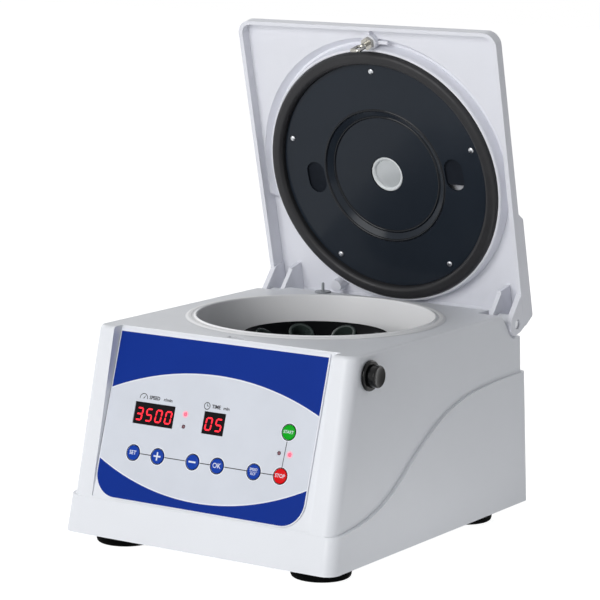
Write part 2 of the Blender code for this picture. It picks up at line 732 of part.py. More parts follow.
def housing_hollows():
    """Hollows of the shell: the main room, the rear room and a bay under the deck."""
    inner_top = BODY_HEIGHT - WALL
    rear_top = TRENCH_FLOOR - WALL
    rear_wall = BODY_DEPTH - UPPER_REAR_INSET - WALL
    low_half = upper_half_width(0.0) - WALL
    front_face = (from_front(front_room_y(-OVERRUN)), from_front(front_room_y(inner_top)))
    back_face = (from_front(notch_front()), from_front(notch_front()))
    main = rounded_shell("main_room", (low_half, DECK_WIDTH / 2 - WALL), front_face, back_face,
                         (UNDERSIDE - OVERRUN, above_base(inner_top)), WALL)
    lean = REAR_LEAN * rear_top / BODY_HEIGHT
    front_face = (from_front(notch_front() - OVERRUN * 6), from_front(notch_front() - OVERRUN * 6))
    back_face = (from_front(rear_wall), from_front(rear_wall - lean))
    rear = rounded_shell("rear_room", (low_half, upper_half_width(rear_top) - WALL), front_face, back_face,
                         (UNDERSIDE - OVERRUN, above_base(rear_top)), WALL)
    bay = box("deck_bay",
              (-NOTCH_INNER_X + WALL, from_front(notch_front() - OVERRUN * 6),
               above_base(rear_top - OVERRUN)),
              (NOTCH_INNER_X - WALL, from_front(TRENCH_FRONT - WALL), above_base(inner_top)))
    return [main, rear, bay]


def rear_trench():
    return box("rear_trench",
               (-BODY_WIDTH, from_front(TRENCH_FRONT), above_base(TRENCH_FLOOR)),
               (BODY_WIDTH, from_front(BODY_DEPTH + OVERRUN), DECK_Z + OVERRUN))


def arm_drop():
    """Angle below level of the arm's front edge when the lid is closed."""
    run = ARM_FRONT_RISE - ARM_NOSE_RISE
    fall = LID_RIM_SET + ARM_NOSE_FORWARD
    return math.atan2(fall, run) + math.asin(ARM_NOSE_RADIUS / math.hypot(run, fall))


def notch_outline():
    """Side outline that the closed arm sinks into, widened by its clearance."""
    y = HINGE_FROM_FRONT - ARM_NOSE_RISE
    z = HINGE_HEIGHT - ARM_NOSE_FORWARD
    radius = ARM_NOSE_RADIUS + NOTCH_CLEARANCE
    drop = arm_drop()
    nose = arc(radius, 270.0 - math.degrees(drop), 270.0, 5, y, z)
    rise = BODY_HEIGHT + OVERRUN - nose[0][1]
    loop = [(nose[0][0] - rise / math.tan(drop), nose[0][1] + rise)] + nose
    loop.append((BODY_DEPTH + OVERRUN, z - radius))
    loop.append((BODY_DEPTH + OVERRUN, BODY_HEIGHT + OVERRUN))
    return [(from_front(a), above_base(b)) for a, b in loop]


def mirrored_plates(name, loop, inner, outer):
    """Two alike plates, one at each side of the object."""
    bm = bmesh.new()
    bm.from_mesh(plate_mesh(name, [loop], inner, outer, "YZ"))
    bm.from_mesh(plate_mesh(name, [loop], -outer, -inner, "YZ"))
    return from_bmesh(name, bm)


def rear_notches():
    return mirrored_plates("rear_notches", notch_outline(), NOTCH_INNER_X, BODY_WIDTH)


def hinge_lugs():
    """Round-topped lugs that stand in the trench and carry the pins."""
    loop = arc(LUG_RADIUS, 0.0, 180.0, 8, HINGE_Y, HINGE_Z)
    foot = above_base(TRENCH_FLOOR - WALL / 2)
    loop.append((HINGE_Y - LUG_RADIUS, foot))
    loop.append((HINGE_Y + LUG_RADIUS, foot))
    return mirrored_plates("hinge_lugs", loop, LUG_INNER_X, LUG_OUTER_X)


def hinge_pin_holes():
    bm = bmesh.new()
    for side in (-1, 1):
        add_rod(bm, HINGE_PIN_RADIUS + FIT_GAP, (side * (LUG_INNER_X - OVERRUN), HINGE_Y, HINGE_Z),
                (side * (LUG_OUTER_X + OVERRUN / 4), HINGE_Y, HINGE_Z), "X", SMALL_STEPS)
    return from_bmesh("hinge_pin_holes", bm)


def panel_recess():
    """Room for the label, open at the front and up past the deck."""
    back = PANEL_LABEL_THICKNESS + FIT_GAP
    return box("panel_recess", (-PANEL_RECESS_WIDTH / 2, -BODY_WIDTH / 4, PANEL_LABEL_LOW - FIT_GAP),
               (PANEL_RECESS_WIDTH / 2, back, BODY_HEIGHT + FRONT_LEAN), None, PANEL)


KEYS = (
    ("key_set", SET_KEY_X, KEY_ROW_HEIGHT, KEY_BLUE),
    ("key_plus", PLUS_KEY_X, KEY_ROW_HEIGHT, KEY_BLUE),
    ("key_minus", MINUS_KEY_X, KEY_ROW_HEIGHT, KEY_BLUE),
    ("key_ok", OK_KEY_X, KEY_ROW_HEIGHT, KEY_BLUE),
    ("key_mode", MODE_KEY_X, KEY_ROW_HEIGHT, KEY_BLUE),
    ("key_stop", STOP_KEY_X, KEY_ROW_HEIGHT, KEY_RED),
    ("key_start", START_KEY_X, START_KEY_HEIGHT, KEY_GREEN),
)
LAMPS = (
    ("lamp_speed", SPEED_LAMP_X, SPEED_LAMP_HIGH, LAMP_RED),
    ("lamp_force", SPEED_LAMP_X, SPEED_LAMP_LOW, LAMP_DARK),
    ("lamp_stop", STOP_LAMP_X, RUN_LAMP_HEIGHT, LAMP_DARK),
    ("lamp_run", RUN_LAMP_X, RUN_LAMP_HEIGHT, LAMP_RED),
)
DISPLAYS = (
    ("speed_display", SPEED_DISPLAY_X, SPEED_DISPLAY_WIDTH),
    ("time_display", TIME_DISPLAY_X, TIME_DISPLAY_WIDTH),
)


def panel_openings():
    """Holes through the front wall for keys, lamps and displays."""
    bm = bmesh.new()
    front = -OVERRUN
    back = BOARD_DEPTH - FIT_GAP
    for name, x, climb, mat in KEYS:
        add_rod(bm, KEY_RADIUS + FIT_GAP, (x, front, climb), (x, back, climb), "Y", SMALL_STEPS)
    for name, x, climb, mat in LAMPS:
        add_rod(bm, LAMP_RADIUS + FIT_GAP, (x, front, climb), (x, back, climb), "Y", TINY_STEPS)
    tall = DISPLAY_HEIGHT / 2 + FIT_GAP
    for name, x, width in DISPLAYS:
        half = width / 2 + FIT_GAP
        add_box(bm, (x - half, front, DISPLAY_ROW - tall), (x + half, back, DISPLAY_ROW + tall))
    return from_bmesh("panel_openings", bm, None, PANEL)


def board_corners():
    half = BOARD_WIDTH / 2 - BOARD_POST_INSET
    low = BOARD_LOW + BOARD_POST_INSET
    high = BOARD_HIGH - BOARD_POST_INSET
    return [(side * half, climb) for side in (-1, 1) for climb in (low, high)]


def board_posts():
    """Posts behind the front wall that the control board is fixed to."""
    bm = bmesh.new()
    start = PANEL_LABEL_THICKNESS + WALL / 2
    for x, climb in board_corners():
        add_rod(bm, BOARD_POST_RADIUS, (x, start, climb), (x, BOARD_DEPTH - FIT_GAP, climb), "Y", TINY_STEPS)
    return from_bmesh("board_posts", bm, None, PANEL)


def striker_y():
    """Place across the deck where the closed lid's striker comes down."""
    return from_front(STRIKER_FROM_FRONT)


def striker_slot(low, high):
    bm = bmesh.new()
    add_box(bm, (STRIKER_X - DECK_SLOT_LENGTH / 2, striker_y() - DECK_SLOT_WIDTH / 2, low),
            (STRIKER_X + DECK_SLOT_LENGTH / 2, striker_y() + DECK_SLOT_WIDTH / 2, high))
    return bm


def switch_pin_y():
    return HINGE_Y - SWITCH_BOSS_RISE


def deck_openings():
    """Chamber hole, striker slot and the hole of the switch bush."""
    low = above_base(BODY_HEIGHT - WALL) - OVERRUN
    high = DECK_Z + OVERRUN
    radius = CHAMBER_RADIUS + BOWL_WALL + FIT_GAP
    bm = striker_slot(low, high)
    add_rod(bm, radius, (0.0, CHAMBER_Y, low), (0.0, CHAMBER_Y, high), "Z", FINE_STEPS)
    add_rod(bm, SWITCH_BUSH_BARREL + FIT_GAP, (SWITCH_PIN_X, switch_pin_y(), low),
            (SWITCH_PIN_X, switch_pin_y(), high), "Z", SMALL_STEPS)
    return from_bmesh("deck_openings", bm)


def release_y():
    return from_front(RELEASE_FROM_FRONT)


def release_z():
    return above_base(RELEASE_HEIGHT)


def side_opening():
    """Hole in the right side wall for the release barrel."""
    inside = upper_half_width(RELEASE_HEIGHT) - RELEASE_BARREL - RELEASE_STOP - RELEASE_TRAVEL * 2
    return rod("side_opening", RELEASE_BARREL_RADIUS + FIT_GAP, (inside, release_y(), release_z()),
               (BODY_WIDTH / 2 + OVERRUN, release_y(), release_z()), "X", SMALL_STEPS)


def rear_openings():
    """Openings in the rear wall for the mains inlet, the rocker and the vents."""
    bm = bmesh.new()
    deep = -UPPER_REAR_INSET - WALL * 2
    for x, wide, tall in ((INLET_X, INLET_WIDTH, INLET_TALL),
                          (ROCKER_X, ROCKER_FRAME_WIDTH, ROCKER_FRAME_TALL)):
        half = wide / 2 + FIT_GAP
        add_box(bm, (x - half, deep, INLET_HEIGHT - tall / 2 - FIT_GAP),
                (x + half, OVERRUN, INLET_HEIGHT + tall / 2 + FIT_GAP))
    for i in range(VENT_COUNT):
        low = VENT_LOW + i * VENT_PITCH
        add_box(bm, (VENT_X - VENT_LENGTH / 2, deep, low),
                (VENT_X + VENT_LENGTH / 2, OVERRUN, low + VENT_WIDTH))
    return from_bmesh("rear_openings", bm, None, REAR)


def make_base_plate():
    """Zinc-plated sheet that closes the shell from below."""
    half = upper_half_width(0.0) - WALL - FIT_GAP
    front = from_front(front_room_y(BASE_PLATE) + FIT_GAP)
    rear = from_front(BODY_DEPTH - UPPER_REAR_INSET - WALL - FIT_GAP * 2)
    r = CORNER_FRONT
    loop = arc(r, 180.0, 270.0, 4, r - half, front + r) + arc(r, 270.0, 360.0, 4, half - r, front + r)
    loop += arc(r, 0.0, 90.0, 4, half - r, rear - r) + arc(r, 90.0, 180.0, 4, r - half, rear - r)
    return plate("base_plate", [loop], UNDERSIDE, UNDERSIDE + BASE_PLATE, "XY", ZINC)


FEET = (
    ("foot_front_left", -FOOT_X, FOOT_FRONT),
    ("foot_front_right", FOOT_X, FOOT_FRONT),
    ("foot_rear_left", -FOOT_X, FOOT_REAR),
    ("foot_rear_right", FOOT_X, FOOT_REAR),
)


def make_feet():
    top = UNDERSIDE - FIT_GAP
    profile = [(0.0, top), (FOOT_RADIUS, top), (FOOT_RADIUS, FOOT_EDGE),
               (FOOT_BOTTOM_RADIUS, FOOT_EDGE / 4), (FOOT_BOTTOM_RADIUS - FOOT_EDGE / 2, 0.0), (0.0, 0.0)]
    for name, x, distance in FEET:
        foot = turned(name, profile, ROUND_STEPS, RUBBER)
        foot.location = (x, from_front(distance), 0.0)


def make_bowl():
    """White chamber bowl that hangs by its lip on the deck."""
    r = CHAMBER_RADIUS
    low = r - BOWL_DRAFT
    step = BOWL_LIP_HEIGHT / 2
    seat = DECK_Z + FIT_GAP
    floor = BOWL_FLOOR_Z
    collar = floor + BOWL_COLLAR_HEIGHT
    hole = BOWL_SHAFT_HOLE
    turn = BOWL_FLOOR_RADIUS
    profile = [(r + step, LIP_TOP), (r + BOWL_LIP_STEP - step, LIP_TOP), (r + BOWL_LIP_STEP, LIP_TOP - step),
               (r + BOWL_LIP_WIDTH - step, LIP_TOP - step), (r + BOWL_LIP_WIDTH, seat), (r + BOWL_WALL, seat)]
    profile += arc(turn + BOWL_WALL, 0.0, -90.0, 4, low - turn, floor + turn)
    profile += [(hole, floor - BOWL_WALL), (hole, collar), (hole + BOWL_WALL, collar),
                (hole + BOWL_WALL, floor)]
    profile += arc(turn, -90.0, 0.0, 4, low - turn, floor + turn)
    profile += [(r, LIP_TOP - step)]
    bowl = turned("chamber_bowl", profile, FINE_STEPS, BOWL_WHITE, ring=True)
    bowl.location = (0.0, CHAMBER_Y, 0.0)
    return bowl


def rectangle(x, z, wide, tall):
    return [(x - wide / 2, z - tall / 2), (x + wide / 2, z - tall / 2),
            (x + wide / 2, z + tall / 2), (x - wide / 2, z + tall / 2)]


def label_outline():
    """Label outline, square at the top and with big round lower corners."""
    half = PANEL_LABEL_WIDTH / 2
    top = (BODY_HEIGHT - PANEL_LABEL_TOP_SET) / math.cos(PANEL_LEAN)
    r = PANEL_CORNER_RADIUS
    low = PANEL_LABEL_LOW
    loop = [(half, top), (-half, top)]
    loop += arc(r, 180.0, 270.0, 6, r - half, low + r)
    loop += arc(r, 270.0, 360.0, 6, half - r, low + r)
    return [(x + PANEL_LABEL_SHIFT, z) for x, z in loop]


def make_label():
    loops = [label_outline()]
    for name, x, climb, mat in KEYS:
        loops.append(circle(KEY_RADIUS + FIT_GAP, SMALL_STEPS, x, climb))
    for name, x, climb, mat in LAMPS:
        loops.append(circle(LAMP_RADIUS + FIT_GAP, TINY_STEPS, x, climb))
    for name, x, width in DISPLAYS:
        loops.append(rectangle(x, DISPLAY_ROW, width + FIT_GAP * 2, DISPLAY_HEIGHT + FIT_GAP * 2))
    return plate("control_panel", loops, 0.0, PANEL_LABEL_THICKNESS, "XZ", LABEL, PANEL)


def on_panel(obj, x, climb):
    """Stand a turned piece on the panel, its axis pointing out of it."""
    obj.location = (x, 0.0, climb)
    obj.rotation_euler.x = math.pi / 2
    return obj


def make_keys():
    """Round keys on stems; each moves a little way into the panel."""
    edge = KEY_PROUD / 2
    back = BOARD_DEPTH - KEY_TRAVEL - FIT_GAP
    profile = [(0.0, KEY_PROUD), (KEY_RADIUS - edge, KEY_PROUD), (KEY_RADIUS, KEY_PROUD - edge),
               (KEY_RADIUS, KEY_PROUD - KEY_CAP), (KEY_STEM_RADIUS, KEY_PROUD - KEY_CAP),
               (KEY_STEM_RADIUS, -back), (0.0, -back)]
    for name, x, climb, mat in KEYS:
        on_panel(turned(name, profile, SMALL_STEPS, mat, PANEL), x, climb)


def make_lamps():
    back = BOARD_DEPTH - FIT_GAP
    crown = LAMP_RADIUS / 4
    profile = [(0.0, crown), (LAMP_RADIUS - crown, crown / 2), (LAMP_RADIUS, 0.0), (LAMP_RADIUS, -back),
               (0.0, -back)]
    for name, x, climb, mat in LAMPS:
        on_panel(turned(name, profile, TINY_STEPS, mat, PANEL), x, climb)


def make_displays():
    for name, x, width in DISPLAYS:
        box(name, (x - width / 2, 0.0, DISPLAY_ROW - DISPLAY_HEIGHT / 2),
            (x + width / 2, BOARD_DEPTH - FIT_GAP, DISPLAY_ROW + DISPLAY_HEIGHT / 2), DISPLAY_BLACK, PANEL)


def make_board():
    return box("control_board", (-BOARD_WIDTH / 2, BOARD_DEPTH, BOARD_LOW),
               (BOARD_WIDTH / 2, BOARD_DEPTH + BOARD_THICKNESS, BOARD_HIGH), BOARD_GREEN, PANEL)


def hull_prism(bm, points, start, end):
    """Add the convex prism round outline points in the side plane of the lid."""
    new = [bm.verts.new((x, y, z)) for x in (start, end) for y, z in points]
    bmesh.ops.convex_hull(bm, input=new)
    loose = [v for v in new if v.is_valid and not v.link_faces]
    bmesh.ops.delete(bm, geom=loose, context="VERTS")


def tail_z(y):
    """Lower face of the lid's tail at a distance out from the axis."""
    run = LID_BACK_THICK - LID_TAIL_RADIUS + ARM_NOSE_FORWARD
    return -LID_TAIL + (LID_TAIL - LID_TAIL_BACK) * (y + ARM_NOSE_FORWARD) / run


def corner_edges(bm):
    """Edges where two faces meet at an angle, not those inside a flat face."""
    return [e for e in bm.edges if e.calc_face_angle(0.0) > math.radians(10.0)]


def lid_front_plate():
    """Front plate of the lid with round corners and a rounded outer edge."""
    half = LID_HALF_WIDTH
    r = LID_CORNER_RADIUS
    loop = [(-half, LID_STEP_AT / 2), (half, LID_STEP_AT / 2)]
    loop += arc(r, 0.0, 90.0, 6, half - r, LID_LENGTH - r)
    loop += arc(r, 90.0, 180.0, 6, r - half, LID_LENGTH - r)
    bm = bmesh.new()
    bm.from_mesh(plate_mesh("lid_front_plate", [loop], LID_RIM_SET, LID_BACK_THIN, "XZ"))
    rim = [e for e in corner_edges(bm) if all(v.co.y > LID_BACK_THIN - WELD for v in e.verts)
           and any(v.co.z > LID_STEP_AT for v in e.verts)]
    bmesh.ops.bevel(bm, geom=rim, offset=LID_EDGE_RADIUS, segments=3, profile=0.5, affect="EDGES")
    return bm


def lid_thick_block():
    """Thicker part of the lid by the hinge, with a sloping step."""
    corner = LID_BACK_THICK - LID_TAIL_RADIUS
    step = LID_BACK_THICK - LID_BACK_THIN
    loop = [(LID_RIM_SET, tail_z(LID_RIM_SET))]
    loop += arc(LID_TAIL_RADIUS, -90.0, 0.0, 4, corner, tail_z(corner) + LID_TAIL_RADIUS)
    loop += [(LID_BACK_THICK, LID_STEP_AT),
             (LID_BACK_THIN - LID_EDGE_RADIUS, LID_STEP_AT + step + LID_EDGE_RADIUS),
             (LID_RIM_SET, LID_STEP_AT + step + LID_EDGE_RADIUS)]
    half = LID_HALF_WIDTH
    bm = bmesh.new()
    bm.from_mesh(plate_mesh("lid_thick_block", [loop], -half, half, "YZ"))
    sides = [e for e in corner_edges(bm) if abs(e.verts[0].co.x - e.verts[1].co.x) < WELD
             and any(v.co.y > LID_BACK_THIN for v in e.verts)]
    bmesh.ops.bevel(bm, geom=sides, offset=LID_EDGE_RADIUS, segments=3, profile=0.5, affect="EDGES")
    return bm


def on_lid(obj, x=0.0, z=0.0):
    """Stand a turned piece on the lid, its axis pointing into the chamber."""
    obj.location = (x, 0.0, z)
    obj.rotation_euler.x = math.pi / 2
    return obj


def lid_dome():
    base = LID_BACK_THIN - LID_DOME_SINK
    sunk = (LID_RIM_SET + LID_BACK_THIN) / 2
    profile = [(0.0, -sunk), (LID_DOME_RADIUS, -sunk), (LID_DOME_RADIUS, -base),
               (LID_DOME_TOP_RADIUS, -LID_BACK_THICK), (0.0, -LID_BACK_THICK)]
    return on_lid(turned("lid_dome", profile, FINE_STEPS), 0.0, LID_CENTRE)


def lid_recess():
    """Round hollow inside the lid, behind its floor."""
    floor = LID_BACK_THIN - LID_SKIN
    deep = LID_BACK_THICK - LID_SKIN
    above = floor - LID_SKIN / 2
    profile = [(0.0, -above), (LID_RECESS_RADIUS, -above), (LID_RECESS_RADIUS, -floor),
               (LID_RECESS_FLOOR_RADIUS, -deep), (0.0, -deep)]
    return on_lid(turned("lid_recess", profile, FINE_STEPS), 0.0, LID_CENTRE)


def lid_front_hollow():
    half = LID_HALF_WIDTH - LID_SIDE_WALL
    end = LID_LENGTH - LID_END_WALL
    r = LID_CORNER_RADIUS - LID_END_WALL
    loop = [(-half, LID_STEP_AT), (half, LID_STEP_AT)]
    loop += arc(r, 0.0, 90.0, 6, half - r, end - r) + arc(r, 90.0, 180.0, 6, r - half, end - r)
    return plate("lid_front_hollow", [loop], LID_RIM_SET - OVERRUN, LID_BACK_THIN - LID_SKIN, "XZ", None, LID)


def lid_rear_hollow():
    """Hollow between the arms' outer walls, up to the sloping step."""
    half = LID_HALF_WIDTH - LID_SIDE_WALL - JOIN_SET
    deep = LID_BACK_THICK - LID_SKIN
    floor = LID_BACK_THIN - LID_SKIN
    corner = deep - LID_TAIL_WALL
    rim = LID_RIM_SET - OVERRUN
    wall = LID_TAIL_WALL
    past = LID_STEP_AT + deep - floor
    loop = [(rim, tail_z(rim) + wall), (corner, tail_z(corner) + wall), (deep, tail_z(corner) + wall * 2),
            (deep, LID_STEP_AT - wall / 2), (floor, past - wall / 2), (floor - wall, past + wall),
            (rim, past + wall)]
    return plate("lid_rear_hollow", [loop], -half, half, "YZ", None, LID)


def nose_points():
    """Outline of an arm: its round nose and its root in the lid."""
    nose = arc(ARM_NOSE_RADIUS, 90.0, 330.0, 16, -ARM_NOSE_FORWARD, ARM_NOSE_RISE)
    nose = [(y, max(z, -LID_TAIL)) for y, z in nose]
    sunk = LID_SIDE_WALL / 2
    neck = LID_RIM_SET + sunk * math.sin(arm_drop())
    rise = ARM_FRONT_RISE + sunk * math.cos(arm_drop())
    root = LID_BACK_THIN
    return nose + [(neck, rise), (root, rise), (root, tail_z(root) + LID_TAIL_WALL / 2)]


def lid_arms():
    """Outer arm walls, inner ribs and the tail wall between them."""
    outer = LID_HALF_WIDTH - JOIN_SET
    rib = ARM_RIB_INNER_X
    bm = bmesh.new()
    for side in (-1, 1):
        hull_prism(bm, nose_points(), side * (outer - ARM_OUTER_WALL), side * outer)
    walls = from_bmesh("lid_arm_walls", bm, None, LID)
    bm = bmesh.new()
    for side in (-1, 1):
        hull_prism(bm, nose_points(), side * rib, side * (rib + ARM_RIB_WIDTH))
    ribs = from_bmesh("lid_arm_ribs", bm, None, LID)
    bm = bmesh.new()
    deep = LID_BACK_THICK - LID_SKIN / 2
    inner_tail = tail_z(0.0) + LID_TAIL_WALL / 2
    half = ARM_RIB_WIDTH / 2 - JOIN_SET
    for side in (-1, 1):
        middle = side * (rib + ARM_RIB_WIDTH / 2)
        add_box(bm, (middle - half, LID_RIM_SET, inner_tail), (middle + half, deep, ARM_RIB_REACH))
    webs = from_bmesh("lid_arm_webs", bm, None, LID)
    bm = bmesh.new()
    low = -ARM_NOSE_FORWARD
    high = LID_RIM_SET + LID_TAIL_WALL
    wall = LID_TAIL_WALL
    face = JOIN_SET
    hull_prism(bm, [(low, tail_z(low) + face), (low, tail_z(low) + wall),
                    (high, tail_z(high) + face), (high, tail_z(high) + wall)],
               -rib - ARM_RIB_WIDTH / 2, rib + ARM_RIB_WIDTH / 2)
    tail = from_bmesh("lid_tail_wall", bm, None, LID)
    return [walls, ribs, webs, tail]


def screw_places():
    """Places round the lid's centre of the screws that hold the liner."""
    turn = math.tau / LINER_SCREW_COUNT
    first = math.radians(LINER_SCREW_START_DEGREES)
    angles = [first + i * turn for i in range(LINER_SCREW_COUNT)]
    return [(LINER_SCREW_CIRCLE * math.cos(a), LID_CENTRE + LINER_SCREW_CIRCLE * math.sin(a)) for a in angles]


def striker_z():
    """Place of the striker up the lid, set by the slot in the deck."""
    return HINGE_FROM_FRONT - STRIKER_FROM_FRONT


def lid_bosses():
    """Bosses inside the lid for liner screws, striker and lid switch."""
    back = LID_BACK_THICK - LID_SKIN / 2
    liner_back = LINER_FLANGE_SET + LINER_THICKNESS + FIT_GAP
    bm = bmesh.new()
    for x, z in screw_places():
        add_rod(bm, LINER_BOSS_RADIUS, (x, liner_back, z), (x, back, z), "Y", TINY_STEPS)
    add_rod(bm, SWITCH_BOSS_RADIUS, (SWITCH_PIN_X, SWITCH_BOSS_TIP, SWITCH_BOSS_RISE),
            (SWITCH_PIN_X, back, SWITCH_BOSS_RISE), "Y", SMALL_STEPS)
    thin = LID_BACK_THIN - LID_SKIN / 2
    add_rod(bm, STRIKER_BOSS_RADIUS, (STRIKER_X, STRIKER_BOSS_TOP, striker_z()),
            (STRIKER_X, thin, striker_z()), "Y", SMALL_STEPS)
    return from_bmesh("lid_bosses", bm, None, LID)


def striker_rib():
    """Rib from the striker's boss to the lid's end wall."""
    half = STRIKER_RIB_WIDTH / 2
    return box("striker_rib", (STRIKER_X - half, STRIKER_BOSS_TOP + half, striker_z()),
               (STRIKER_X + half, LID_BACK_THIN - LID_SKIN / 2, LID_LENGTH - LID_END_WALL / 2), None, LID)


def lid_holes():
    """Sight hole and screw holes."""
    bm = bmesh.new()
    deep = LID_BACK_THICK - LID_SKIN
    add_rod(bm, SIGHT_HOLE_RADIUS, (0.0, deep - LID_SKIN, LID_CENTRE),
            (0.0, LID_BACK_THICK + OVERRUN, LID_CENTRE),
            "Y", ROUND_STEPS)
    start = LINER_FLANGE_SET
    for x, z in screw_places():
        add_rod(bm, LINER_SCREW_SHANK + FIT_GAP, (x, start, z), (x, start + LINER_SCREW_LENGTH + FIT_GAP, z),
                "Y", TINY_STEPS)
    return from_bmesh("lid_holes", bm, None, LID)


def pin_profile(outer, inner, gap):
    """Headed pin from its head to its inner end, or the bore it needs."""
    neck = LID_HALF_WIDTH - HINGE_PIN_SINK - HINGE_PIN_HEAD_LENGTH - gap
    head = HINGE_PIN_HEAD_RADIUS + gap
    shank = HINGE_PIN_RADIUS + gap
    return [(0.0, outer), (head, outer), (head, neck), (shank, neck), (shank, inner), (0.0, inner)]


def turned_across(name, profile, steps, mat=None, parent=None):
    """Turned pieces at the right and the left, their axes across the object."""
    pieces = []
    for side, turn in (("right", math.pi / 2), ("left", -math.pi / 2)):
        piece = turned(name + "_" + side, profile, steps, mat, parent)
        piece.rotation_euler.y = turn
        pieces.append(piece)
    return pieces


def make_lid_shell():
    shell = from_bmesh("lid_shell", lid_front_plate(), LID_WHITE, LID)
    combine(shell, from_bmesh("lid_thick_cutter", lid_thick_block(), None, LID), "UNION")
    dome = lid_dome()
    dome.parent = LID
    combine(shell, dome, "UNION")
    combine(shell, lid_front_hollow())
    combine(shell, lid_rear_hollow())
    recess = lid_recess()
    recess.parent = LID
    combine(shell, recess)
    for piece in lid_arms():
        combine(shell, piece, "UNION")
    combine(shell, lid_bosses(), "UNION")
    combine(shell, striker_rib(), "UNION")
    bore = pin_profile(LID_HALF_WIDTH + OVERRUN, ARM_RIB_INNER_X - OVERRUN, FIT_GAP)
    for cutter in turned_across("pin_bore", bore, SMALL_STEPS, None, LID):
        combine(shell, cutter)
    combine(shell, lid_holes())
    return smooth(shell)


def make_liner():
    """Dark moulding inside the lid: flange, round recess and window collar."""
    face = -LINER_FLANGE_SET
    low = -LINER_RECESS_SET
    t = LINER_THICKNESS
    outer = GASKET_INNER - FIT_GAP
    foot = FIT_GAP - LID_BACK_THICK + LID_SKIN
    eye = LINER_EYE_RADIUS
    collar = foot + WINDOW_THICKNESS + FIT_GAP
    slant = t / 2
    profile = [(eye, low), (LINER_RECESS_INNER, low), (LINER_RECESS_OUTER, face), (outer, face),
               (outer, foot),
               (outer - LINER_SKIRT, foot), (outer - LINER_SKIRT, face - t),
               (LINER_RECESS_OUTER + slant, face - t),
               (LINER_RECESS_INNER + slant, low - t), (eye + LINER_COLLAR, low - t),
               (eye + LINER_COLLAR, collar),
               (eye, collar)]
    liner = on_lid(turned("lid_liner", profile, FINE_STEPS, LINER_DARK, LID, ring=True), 0.0, LID_CENTRE)
    combine(liner, liner_cuts())
    return liner


def liner_cuts():
    """Two slots for the fingers and the screw holes of the liner."""
    bm = bmesh.new()
    start = LINER_FLANGE_SET - OVERRUN
    end = LINER_FLANGE_SET + LINER_THICKNESS + OVERRUN / 4
    r = LINER_SLOT_WIDTH / 2
    run = LINER_SLOT_LENGTH / 2 - r
    for side in (0, 1):
        turn = math.radians(LINER_SLOT_TURN_DEGREES) + side * math.pi
        loop = arc(r, 0.0, 180.0, 8, 0.0, run) + arc(r, 180.0, 360.0, 8, 0.0, -run)
        loop = [(x + LINER_SLOT_RADIUS, z) for x, z in loop]
        c = math.cos(turn)
        s = math.sin(turn)
        loop = [(x * c - z * s, LID_CENTRE + x * s + z * c) for x, z in loop]
        bm.from_mesh(plate_mesh("liner_slot", [loop], start, end, "XZ"))
    for x, z in screw_places():
        add_rod(bm, LINER_SCREW_SHANK + FIT_GAP, (x, start, z), (x, end, z), "Y", TINY_STEPS)
    return from_bmesh("liner_cuts", bm, None, LID)


def make_gasket():
    """Rubber ring that closes on the lip of the bowl."""
    r = GASKET_ROUND
    top = -GASKET_TOP_SET
    foot = FIT_GAP - LID_BACK_THICK + LID_SKIN
    profile = arc(r, 180.0, 90.0, 4, GASKET_INNER + r, top - r) + arc(r, 90.0, 0.0, 4, GASKET_OUTER - r,
                                                                      top - r)
    profile += [(GASKET_OUTER, foot), (GASKET_INNER, foot)]
    return on_lid(turned("lid_gasket", profile, FINE_STEPS, GASKET_RUBBER, LID, ring=True), 0.0, LID_CENTRE)


def make_liner_screws():
    seat = FIT_GAP - LINER_FLANGE_SET
    head = LINER_SCREW_HEAD
    dome = LINER_SCREW_DOME
    end = seat - LINER_SCREW_LENGTH
    profile = [(0.0, seat + dome), (head / 2, seat + dome * 3 / 4), (head, seat + dome / 4), (head, seat),
               (LINER_SCREW_SHANK, seat), (LINER_SCREW_SHANK, end), (0.0, end)]
    for i, (x, z) in enumerate(screw_places()):
        on_lid(turned("liner_screw_" + str(i + 1), profile, TINY_STEPS, STEEL, LID), x, z)


def make_window():
    back = LID_BACK_THICK - LID_SKIN - FIT_GAP
    return rod("sight_window", WINDOW_RADIUS, (0.0, back - WINDOW_THICKNESS, LID_CENTRE),
               (0.0, back, LID_CENTRE),
               "Y", ROUND_STEPS, CLEAR, LID)


def ring_outline():
    """Centre line of the striker's wire loop, wide at its bar and round above."""
    half = STRIKER_HALF_WIDTH
    bend = STRIKER_BEND
    points = arc(half, 0.0, 180.0, 10, STRIKER_X, STRIKER_ARCH)
    points += arc(bend, 180.0, 270.0, 3, STRIKER_X - half + bend, -STRIKER_BAR + bend)
    points += arc(bend, 270.0, 360.0, 3, STRIKER_X + half - bend, -STRIKER_BAR + bend)
    return points


def striker_ring():
    curve = bpy.data.curves.new("striker_ring", "CURVE")
    curve.dimensions = "3D"
    curve.bevel_depth = STRIKER_WIRE
    curve.bevel_resolution = 2
    points = ring_outline()
    spline = curve.splines.new("POLY")
    spline.points.add(len(points) - 1)
    for point, (x, y) in zip(spline.points, points):
        point.co = (x, y, striker_z(), 1.0)
    spline.use_cyclic_u = True
    guide = bpy.data.objects.new("striker_ring_guide", curve)
    bpy.context.scene.collection.objects.link(guide)
    graph = bpy.context.evaluated_depsgraph_get()
    mesh = bpy.data.meshes.new_from_object(guide.evaluated_get(graph))
    bpy.data.objects.remove(guide)
    bm = bmesh.new()
    bm.from_mesh(mesh)
    bmesh.ops.remove_doubles(bm, verts=bm.verts, dist=WELD)
    return from_bmesh("striker_ring", bm, None, LID)


